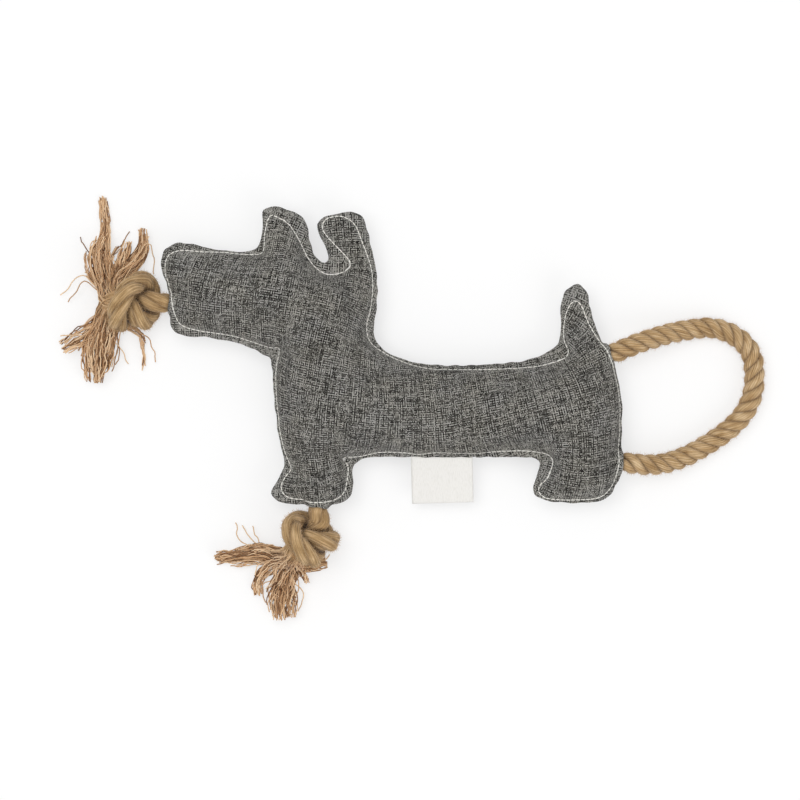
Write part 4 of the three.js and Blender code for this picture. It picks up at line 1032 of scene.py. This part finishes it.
def smoothLoop(loop, rounds):
    for _ in range(rounds):
        loop = 0.5 * loop + 0.25 * (np.roll(loop, 1, axis=0) + np.roll(loop, -1, axis=0))
    return loop


def seamLines(settings):
    edge = closedSteps(panelOutline("front_panel"), settings["readStep"])
    edge = closedSteps(smoothLoop(edge, settings["smoothRounds"]), settings["edgeStep"])
    ahead = np.roll(edge, -1, axis=0) - np.roll(edge, 1, axis=0)
    outward = np.stack([ahead[:, 1], -ahead[:, 0]], axis=1) / np.linalg.norm(ahead, axis=1, keepdims=True)
    turn = 2 * math.pi * np.arange(len(edge)) / len(edge)
    fine, bend, slow, patchy = settings["ruffleTurns"]
    ruffle = settings["ruffle"] * np.sin(fine * turn + bend * np.sin(slow * turn)) * np.sin(patchy * turn)
    edge = edge + ruffle[:, None] * outward
    marks = np.array([point for part in sewingLine.values() for point in part], float)
    padded = np.vstack([marks[-2:], marks, marks[:2]])
    flat = np.hstack([padded, np.zeros((len(padded), 1))])
    padding = 2 * settings["perSpan"]
    walked = throughPoints(flat, settings["perSpan"])[padding:-padding, :2]
    stitch = closedSteps(walked, settings["edgeStep"])
    far, _, spot = nearestOn(stitch, edge)
    inward = np.where(insideOf(stitch, edge), 1.0, -1.0)[:, None] * (stitch - spot)
    inward /= np.maximum(np.linalg.norm(inward, axis=1, keepdims=True), 1e-6)
    signed = np.where(insideOf(stitch, edge), far, -far)
    tooNear = (signed < settings["leastInset"])[:, None]
    pushed = np.where(tooNear, spot + inward * settings["leastInset"], stitch)
    return edge, closedSteps(smoothLoop(pushed, 1), settings["edgeStep"])


def flatCover(settings):
    edge, stitch = seamLines(settings)
    low, high = edge.min(axis=0), edge.max(axis=0)
    rows = np.arange(low[1], high[1], settings["lattice"] * math.sqrt(0.75))
    lattice = []
    for number, y in enumerate(rows):
        xs = np.arange(low[0] + 0.5 * settings["lattice"] * (number % 2), high[0], settings["lattice"])
        lattice.append(np.stack([xs, np.full(len(xs), y)], axis=1))
    lattice = np.vstack(lattice)
    lattice = lattice[insideOf(lattice, edge)]
    fromLines = np.minimum(nearestOn(lattice, edge)[0], nearestOn(lattice, stitch)[0])
    clear = fromLines > settings["latticeClear"] * settings["lattice"]
    points = np.vstack([edge, stitch, lattice[clear]])
    ring = [(i, (i + 1) % len(edge)) for i in range(len(edge))]
    ring += [(len(edge) + i, len(edge) + (i + 1) % len(stitch)) for i in range(len(stitch))]
    made = delaunay_2d_cdt([Vector(p) for p in points.tolist()], ring, [], 1, 1e-5)
    return np.array([tuple(v) for v in made[0]]), np.array([tuple(f) for f in made[2]]), edge, stitch


# pillow height: the shape of a film blown up inside the sewing line
def filmHeight(points, triangles, held, settings):
    a, b, c = (points[triangles[:, i]] for i in range(3))
    double = np.abs(np.cross(b - a, c - a))
    ends, weights = [], []
    for i, j, k in ((0, 1, 2), (1, 2, 0), (2, 0, 1)):
        u = points[triangles[:, j]] - points[triangles[:, i]]
        v = points[triangles[:, k]] - points[triangles[:, i]]
        ends.append(triangles[:, [j, k]])
        weights.append(0.5 * (u * v).sum(axis=1) / np.maximum(double, 1e-9))
    ends, weights = np.vstack(ends), np.concatenate(weights)
    count = len(points)
    load = np.bincount(triangles.ravel(), np.repeat(double / 6, 3), count)

    def pull(x):
        flow = weights * (x[ends[:, 0]] - x[ends[:, 1]])
        return np.bincount(ends[:, 0], flow, count) - np.bincount(ends[:, 1], flow, count)

    free = (~held).astype(float)
    height = np.zeros(count)
    rest = load * free
    step = rest.copy()
    size = rest @ rest
    for _ in range(settings["filmRounds"]):
        pulled = pull(step) * free
        share = size / (step @ pulled)
        height += share * step
        rest -= share * pulled
        fresh = rest @ rest
        if fresh < settings["filmClose"]:
            break
        step = rest + (fresh / size) * step
        size = fresh
    return np.maximum(height, 0)


def mouthArch(points, settings):
    arch = np.zeros(len(points))
    for mouth in mouths.values():
        offset = points - np.array(mouth["rim"])
        out = np.array(mouth["out"])
        along = offset @ out
        across = offset @ np.array((-out[1], out[0]))
        fade = np.clip((along + settings["mouthReach"]) / settings["mouthFade"], 0, 1)
        bow = np.sqrt(np.maximum(settings["mouthRadius"]**2 - across**2, 0))
        arch = np.maximum(arch, bow * fade * fade * (3 - 2 * fade))
    return arch


# the two covers part a little where the label is sewn in between them
def labelSlot(points, settings):
    fromMiddle = np.abs(points[:, 0] - settings["labelMiddle"])
    reach = settings["labelHalf"] + settings["labelBeside"]
    across = np.clip((reach - fromMiddle) / settings["labelFade"], 0, 1)
    down = np.clip((settings["labelTop"] - points[:, 1]) / settings["labelFall"], 0, 1)
    return np.where(across * down > 0, settings["labelGap"] * across * down, -np.inf)


def coverHeights(settings):
    points, triangles, edge, stitch = flatCover(settings)
    fromEdge = nearestOn(points, edge)[0]
    fromStitch, runs, _ = nearestOn(points, stitch)
    within = insideOf(points, stitch) & (fromStitch > 1e-3)
    film = filmHeight(points, triangles, ~within, settings)
    swell = settings["swell"] * (np.sqrt(2 * film + settings["soften"]**2) - settings["soften"])
    edgeShare = np.clip(fromEdge / settings["rimRound"], 0, 1)
    rim = settings["rim"] * np.sqrt(1 - (1 - edgeShare)**2)
    groove = settings["groove"] * np.exp(-(fromStitch / settings["grooveWidth"])**2) * edgeShare
    run = runs * settings["edgeStep"]
    bend, slow, patchy = settings["puckerDrift"]
    wave = np.sin(2 * math.pi * run / settings["puckerLength"] + bend * np.sin(run / slow))
    wave = wave * np.sin(run / patchy + 1)
    fade = np.clip(fromStitch / settings["puckerStart"], 0, 1)
    pucker = settings["pucker"] * wave * np.exp(-fromStitch / settings["puckerReach"]) * fade
    heights = np.where(within, rim + swell + pucker, rim) - groove
    arch = mouthArch(points, settings)
    heights = np.where(arch > 0, np.maximum(heights, arch), heights)
    heights = np.maximum(heights, labelSlot(points, settings))
    # painted light along the seam margin: full outside the stitching, fading inward from it
    marginLight = np.where(within, np.exp(-fromStitch / settings["marginLightReach"]), 1.0)
    loose = within & (fromStitch > settings["heldBy"]) & (arch < settings["heldArch"])
    return points, triangles, edge, stitch, heights, loose, marginLight


coverPoints, coverFaces, coverEdge, coverStitch, coverRise, coverLoose, coverMarginLight = coverHeights(coverSettings)
print("cover mesh", len(coverPoints), "points", len(coverFaces), "triangles, rise", round(coverRise.max(), 1))


# front cover blown up by a short cloth simulation, held at its sewing line
simSettings = {
    "frames": 20, "cap": 3.5,
    "cloth": {"quality": 6, "mass": 0.02, "tension_stiffness": 12.0, "compression_stiffness": 12.0,
              "shear_stiffness": 6.0, "bending_stiffness": 0.08, "use_pressure": True,
              "uniform_pressure_force": 4.0, "vertex_group_mass": "held", "shrink_min": -0.035},
}


def blowUp(piece, loose, settings):
    group = piece.vertex_groups.new(name=settings["cloth"]["vertex_group_mass"])
    group.add([int(i) for i in np.flatnonzero(~loose)], 1.0, "REPLACE")
    before = spotsOf(piece.data)
    modifier = piece.modifiers.new("blowUp", "CLOTH")
    for key, value in settings["cloth"].items():
        setattr(modifier.settings, key, value)
    modifier.settings.effector_weights.gravity = 0
    modifier.point_cache.frame_end = settings["frames"]
    for number in range(1, settings["frames"] + 1):
        scene.frame_set(number)
    mesh = evaluated(piece)
    after = spotsOf(mesh)
    bpy.data.meshes.remove(mesh)
    piece.modifiers.remove(modifier)
    piece.vertex_groups.remove(group)
    scene.frame_set(1)
    move = after - before
    far = np.linalg.norm(move, axis=1, keepdims=True)
    cap = settings["cap"] * mm
    move *= cap * np.tanh(far / cap) / np.maximum(far, 1e-9)
    piece.data.vertices.foreach_set("co", (before + move).ravel())
    piece.data.update()
    most, mean = np.round(far.max() / mm, 2), np.round(far.mean() / mm, 2)
    print("cover blown up by", most, "mm at most,", mean, "on average")


# the cloth's threads keep their spacing as the cover swells, so the weave follows an unwrapped map
weaveStretch = 1.05  # the map is laid this much wider than the cover, as swollen cloth is


def unwrapWeave(piece):
    bpy.context.view_layer.objects.active = piece
    piece.select_set(True)
    piece.data.uv_layers.new(name="weave")
    bpy.ops.object.mode_set(mode="EDIT")
    bpy.ops.mesh.select_all(action="SELECT")
    bpy.ops.uv.unwrap(method="MINIMUM_STRETCH", margin=0.0)
    bpy.ops.object.mode_set(mode="OBJECT")
    piece.select_set(False)
    layer = piece.data.uv_layers["weave"]
    corners = cornerVertices(piece)
    raw = np.empty(2 * len(corners), np.float32)
    layer.data.foreach_get("uv", raw)
    flat = raw.reshape(-1, 2).astype(float)
    seen = spotsOf(piece.data)[corners, :2] / (weaveUnit * mm)
    middle, goal = flat.mean(axis=0), seen.mean(axis=0)
    left, _, right = np.linalg.svd((flat - middle).T @ (seen - goal))
    turn = left @ right
    spread = np.sqrt(((seen - goal)**2).sum() / ((flat - middle)**2).sum())
    laid = (flat - middle) @ turn * spread * weaveStretch + goal
    layer.data.foreach_set("uv", laid.astype(np.float32).ravel())


def thicken(piece, thickness):
    shell = piece.modifiers.new("shell", "SOLIDIFY")
    shell.thickness = thickness * mm
    shell.offset = -1
    mesh = evaluated(piece)
    piece.modifiers.remove(shell)
    piece.data = mesh


# the back swells as the front does, but is pressed flat where it would reach the ground
backSettings = {"groundGap": 0.05, "sharpness": 8}


def backRise(rise, settings):
    limit = seamZ - settings["groundGap"]
    power = settings["sharpness"]
    return rise / (1 + (np.maximum(rise, 0) / limit)**power)**(1 / power)


coverVerts = np.column_stack([coverPoints, seamZ + coverRise])
frontCover = addMesh("frontCover", coverVerts, coverFaces, heatherCloth)
setPoints(frontCover, "marginLight", coverMarginLight)
blowUp(frontCover, coverLoose, simSettings)
frontSpots = spotsOf(frontCover.data) / mm
unwrapWeave(frontCover)
backCover = placed("backCover", frontCover.data.copy())
backCover.data.name = "backCover"
backSpots = frontSpots.copy()
backSpots[:, 2] = seamZ - backRise(frontSpots[:, 2] - seamZ, backSettings)
backCover.data.vertices.foreach_set("co", (backSpots * mm).ravel())
backCover.data.flip_normals()
for cover, node in ((frontCover, "front_panel"), (backCover, "back_panel")):
    thicken(cover, coverSettings["cloth"])
    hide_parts(node)
pressStart = (0.03065, -0.033, 0.0245)
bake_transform(frontCover)
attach(backCover, "toy_body")
print("covers", len(frontCover.data.polygons), len(backCover.data.polygons))


# topstitching in off-white thread
threadLook = dict(plainLook, main=(0.95, 0.935, 0.88), shade=(0.80, 0.78, 0.72), roughness=0.75, scale=900.0,
                  stops=(0.3, 0.6), bump=0.3, bumpDepth=0.2)
offWhiteThread = twoToneMaterial("offWhiteThread", threadLook)
stitchSettings = {"pitch": 3.0, "length": 3.0, "thread": 0.66, "lift": 0.28, "askew": (0.05, 0.05, 0.07),
                  "seed": 4}


def stitchTree(settings):
    tree, given = startTree("topstitch", {"Pitch": "Float", "Length": "Float", "Thread": "Float",
                                          "Seed": "Int", "Material": "Material"})
    spaced = addNode(tree, "GeometryNodeResampleCurve",
                     {"Curve": given["Geometry"], "Length": given["Pitch"]}, mode="LENGTH")
    course = tree.nodes.new("GeometryNodeInputTangent").outputs[0]
    along = addNode(tree, "FunctionNodeAlignRotationToVector", {"Vector": course}, axis="X")
    least = tuple(-angle for angle in settings["askew"])
    askew = addNode(tree, "FunctionNodeRandomValue", {0: least, 1: settings["askew"], "Seed": given["Seed"]},
                    data_type="FLOAT_VECTOR")
    wobble = addNode(tree, "FunctionNodeEulerToRotation", {0: askew.outputs[0]})
    turned = addNode(tree, "FunctionNodeRotateRotation", {0: along.outputs[0], 1: wobble.outputs[0]})
    grain = addNode(tree, "GeometryNodeMeshUVSphere", {"Segments": 8, "Rings": 7, "Radius": 0.5})
    size = addNode(tree, "ShaderNodeCombineXYZ", {0: given["Length"], 1: given["Thread"], 2: given["Thread"]})
    sewn = addNode(tree, "GeometryNodeInstanceOnPoints",
                   {"Points": spaced.outputs[0], "Instance": grain.outputs[0], "Rotation": turned.outputs[0],
                    "Scale": size.outputs[0]})
    return endTree(tree, sewn.outputs[0], given["Material"], smooth=True)


topstitch = stitchTree(stitchSettings)


def stitchRow(name, node, spots, side):
    first = len(coverEdge)
    line = spots[first:first + len(coverStitch)].copy()
    line[:, 2] += side * stitchSettings["lift"]
    guide = addCurves(name, [line])
    guide.data.splines[0].use_cyclic_u = True
    piece = grown(guide, topstitch, {
        "Pitch": stitchSettings["pitch"] * mm, "Length": stitchSettings["length"] * mm,
        "Thread": stitchSettings["thread"] * mm, "Seed": stitchSettings["seed"], "Material": offWhiteThread})
    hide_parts(node)
    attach(piece, "toy_body")
    return piece


frontStitches = stitchRow("frontStitches", "front_topstitch", frontSpots, 1)
backStitches = stitchRow("backStitches", "back_topstitch", backSpots, -1)
print("stitches", len(frontStitches.data.polygons), len(backStitches.data.polygons), "faces")


# folded label of woven tape, hanging from the belly seam
labelLook = dict(plainLook, main=(0.81, 0.795, 0.765), shade=(0.75, 0.735, 0.70), roughness=0.55, sheen=0.15,
                 ribs=(2600.0, 420.0, 420.0), stops=(0.3, 0.55), bump=0.15, bumpDepth=0.2)
labelSettings = {
    "width": 37.0, "length": 27.0, "tuck": 3.4, "droop": 12.0, "fold": 1.3, "hinge": -61.65, "middle": 30.15,
    "columns": 28, "rows": 22, "foldRows": 9, "thickness": 0.35, "rootRise": 0.28, "seamRise": 0.3,
    "opening": 2.2, "wave": 0.5, "wavePower": 1.5, "waveTurn": 5.2, "waveStart": 0.6, "askew": 1.6,
    "askewRun": 4,
}


def makeLabel(settings):
    droop = math.radians(settings["droop"])
    half, seamRise = settings["fold"] / 2, settings["seamRise"]
    flat = settings["length"] - half
    upper = [(settings["tuck"], settings["rootRise"]), (0.0, seamRise)]
    for share in np.linspace(0, 1, settings["rows"])[1:]:
        upper.append((-share * flat, seamRise + (half - seamRise) * min(1, settings["opening"] * share)))
    turn = [(-flat - half * math.cos(a), half * math.sin(a))
            for a in np.linspace(math.pi / 2, -math.pi / 2, settings["foldRows"])[1:-1]]
    lower = [(run, -rise) for run, rise in reversed(upper)]
    section = []
    for run, rise in upper + turn + lower:
        tilt = droop if run < 0 else 0.0
        section.append((settings["hinge"] + run * math.cos(tilt) + rise * math.sin(tilt),
                        seamZ + run * math.sin(tilt) + rise * math.cos(tilt), -run / settings["length"]))
    across = np.linspace(-0.5, 0.5, settings["columns"])
    verts = []
    for y, z, out in section:
        for share in across:
            bend = math.sin(settings["waveTurn"] * share + settings["waveStart"])
            wave = settings["wave"] * max(0.0, out)**settings["wavePower"] * bend
            askew = math.radians(settings["askew"]) * min(1.0, max(0.0, settings["askewRun"] * out))
            aside, down = share * settings["width"], y - settings["hinge"]
            verts.append((settings["middle"] + aside * math.cos(askew) - down * math.sin(askew),
                          settings["hinge"] + aside * math.sin(askew) + down * math.cos(askew), z + wave))
    faces = gridFaces(len(section), settings["columns"])
    label = addMesh("foldedLabel", verts, faces, twoToneMaterial("wovenTape", labelLook))
    thicken(label, settings["thickness"])
    faceOutwards(label)
    return label


label = makeLabel(labelSettings)
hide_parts("label_root", "label_flap")
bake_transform(label)
print("label", len(label.data.polygons), "faces")


# fibre filling in lobes, kept just under the cloth
fillLook = dict(plainLook, main=(0.83, 0.82, 0.80), shade=(0.60, 0.59, 0.57), roughness=1.0, scale=420.0,
                detail=6.0, distortion=2.0, stops=(0.35, 0.6), bump=0.6, bumpDepth=0.8)
fillSettings = {"voxel": 2.4, "lump": 0.9, "lumpLength": 9.0, "lumpTurn": 6.3, "underCloth": 1.6}
fibreFill = twoToneMaterial("fibreFill", fillLook)
frontTree = BVHTree.FromPolygons((frontSpots * mm).tolist(), coverFaces.tolist())
backTree = BVHTree.FromPolygons((backSpots * mm).tolist(), coverFaces.tolist())


def fillLobe(node):
    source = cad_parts[node]
    lobe = placed(node.title().replace("_", ""), source.data.copy())
    remesh = lobe.modifiers.new("even", "REMESH")
    remesh.mode = "VOXEL"
    remesh.voxel_size = fillSettings["voxel"] * mm
    mesh = evaluated(lobe)
    lobe.modifiers.remove(remesh)
    lobe.data = mesh
    mesh.materials.clear()
    mesh.materials.append(fibreFill)
    mesh.polygons.foreach_set("use_smooth", [True] * len(mesh.polygons))
    under = fillSettings["underCloth"] * mm
    for vertex in mesh.vertices:
        x, y, z = vertex.co
        across, along = (place / mm / fillSettings["lumpLength"] for place in (x, y))
        wave = math.sin(across * fillSettings["lumpTurn"]) * math.sin(along * fillSettings["lumpTurn"])
        vertex.co -= vertex.normal * (0.5 + 0.5 * wave) * fillSettings["lump"] * mm
        above = frontTree.ray_cast(Vector((x, y, 1.0)), Vector((0, 0, -1)))[0]
        below = backTree.ray_cast(Vector((x, y, -1.0)), Vector((0, 0, 1)))[0]
        if above and below:
            vertex.co.z = max(min(vertex.co.z, above.z - under), below.z + under)
    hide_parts(node)
    return lobe


for node in ("head_filling", "front_ear_filling", "rear_ear_filling", "torso_filling_upper",
             "torso_filling_lower", "front_leg_filling", "rear_leg_filling", "tail_filling"):
    lobe = fillLobe(node)
    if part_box(node)[1][2] > pressStart[2]:
        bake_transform(lobe)
    else:
        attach(lobe, "toy_body")
print("filling done")


# squeaker inside: moulded plastic with a faint flow, and bellows with folds in their wall
plasticLook = dict(plainLook, main=(0.76, 0.79, 0.77), shade=(0.68, 0.71, 0.70), roughness=0.38, gloss=0.5,
                   scale=120.0, detail=3.0, distortion=1.0, stops=(0.35, 0.6), grainScale=2200.0, bump=0.12,
                   bumpDepth=0.2)
reedLook = dict(plasticLook, main=(0.48, 0.55, 0.60), shade=(0.36, 0.43, 0.48), roughness=0.28)
squeakerPlastic = twoToneMaterial("squeakerPlastic", plasticLook)
reedPlastic = twoToneMaterial("reedPlastic", reedLook)
mouldedNodes = {"squeaker_base": squeakerPlastic, "squeaker_crown": squeakerPlastic,
                "reed_cup": squeakerPlastic, "reed_clamp": squeakerPlastic, "reed_tongue": reedPlastic}
for node, material in mouldedNodes.items():
    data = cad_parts[node].data
    data.materials.clear()
    data.materials.append(material)

bellowsSettings = {"axis": (30.65, -33.0), "low": 10.85, "high": 22.75, "radius": 17.0, "depth": 3.0,
                   "folds": 2, "wall": 0.8, "sides": 56, "rings": 40}


def makeBellows(settings):
    x, y = settings["axis"]
    verts, profile = [], []
    for share in np.linspace(0, 1, settings["rings"]):
        drawn = 0.5 - 0.5 * math.cos(2 * math.pi * settings["folds"] * share)
        profile.append((settings["radius"] - settings["depth"] * drawn,
                        settings["low"] + share * (settings["high"] - settings["low"])))
    section = profile + [(r - settings["wall"], z) for r, z in reversed(profile)]
    for r, z in section:
        for number in range(settings["sides"]):
            angle = 2 * math.pi * number / settings["sides"]
            verts.append((x + r * math.cos(angle), y + r * math.sin(angle), z))
    faces = gridFaces(len(section), settings["sides"], closedRows=True, closedColumns=True)
    return addMesh("bellowsFolds", verts, faces, squeakerPlastic)


bellows = makeBellows(bellowsSettings)
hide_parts("squeaker_bellows")
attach(bellows, "toy_body")
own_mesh(bellows)
print("squeaker done")


# plain white floor that keeps the contact shadow, and soft studio light
stageSettings = {"floorSize": 8.0, "floorHeight": -0.05, "floor": (0.94, 0.94, 0.94), "roughness": 0.9,
                 "white": 1.0, "whiteShare": 0.6, "world": 0.5}
lampSettings = {
    "overhead": {"place": (-0.4, 0.3, 1.9), "size": 1.6, "power": 22.5},
    "side": {"place": (1.2, -1.1, 1.3), "size": 1.4, "power": 10.5},
}


def addFloor(settings):
    half = settings["floorSize"] / 2 / mm
    material, tree, shader = newMaterial("paleFloor", settings["floor"], settings["roughness"])
    rays = tree.nodes.new("ShaderNodeLightPath")
    glow = addNode(tree, "ShaderNodeEmission", {"Color": (1, 1, 1, 1), "Strength": settings["white"]})
    share = mathNode(tree, "MULTIPLY", rays.outputs["Is Camera Ray"], settings["whiteShare"])
    mixed = addNode(tree, "ShaderNodeMixShader", {0: share, 1: shader.outputs[0], 2: glow.outputs[0]})
    tree.links.new(mixed.outputs[0], tree.nodes["Material Output"].inputs["Surface"])
    corners = [(x * half, y * half, settings["floorHeight"]) for x, y in ((-1, -1), (1, -1), (1, 1), (-1, 1))]
    floor = addMesh("paleFloor", corners, [(0, 1, 2, 3)], material, smooth=False)


def addLamp(name, lamp):
    data = bpy.data.lights.new(name, "AREA")
    data.size = lamp["size"]
    data.energy = lamp["power"]
    light = placed(name, data)
    light.location = lamp["place"]
    light.rotation_euler = (-Vector(lamp["place"])).to_track_quat("-Z", "Y").to_euler()


addFloor(stageSettings)
for name, lamp in lampSettings.items():
    addLamp(name, lamp)
world = bpy.data.worlds.new("studio")
world.use_nodes = True
background = world.node_tree.nodes["Background"]
background.inputs["Color"].default_value = (1, 1, 1, 1)
background.inputs["Strength"].default_value = stageSettings["world"]
scene.world = world
scene.view_settings.view_transform = "Standard"
print("floor and light set")
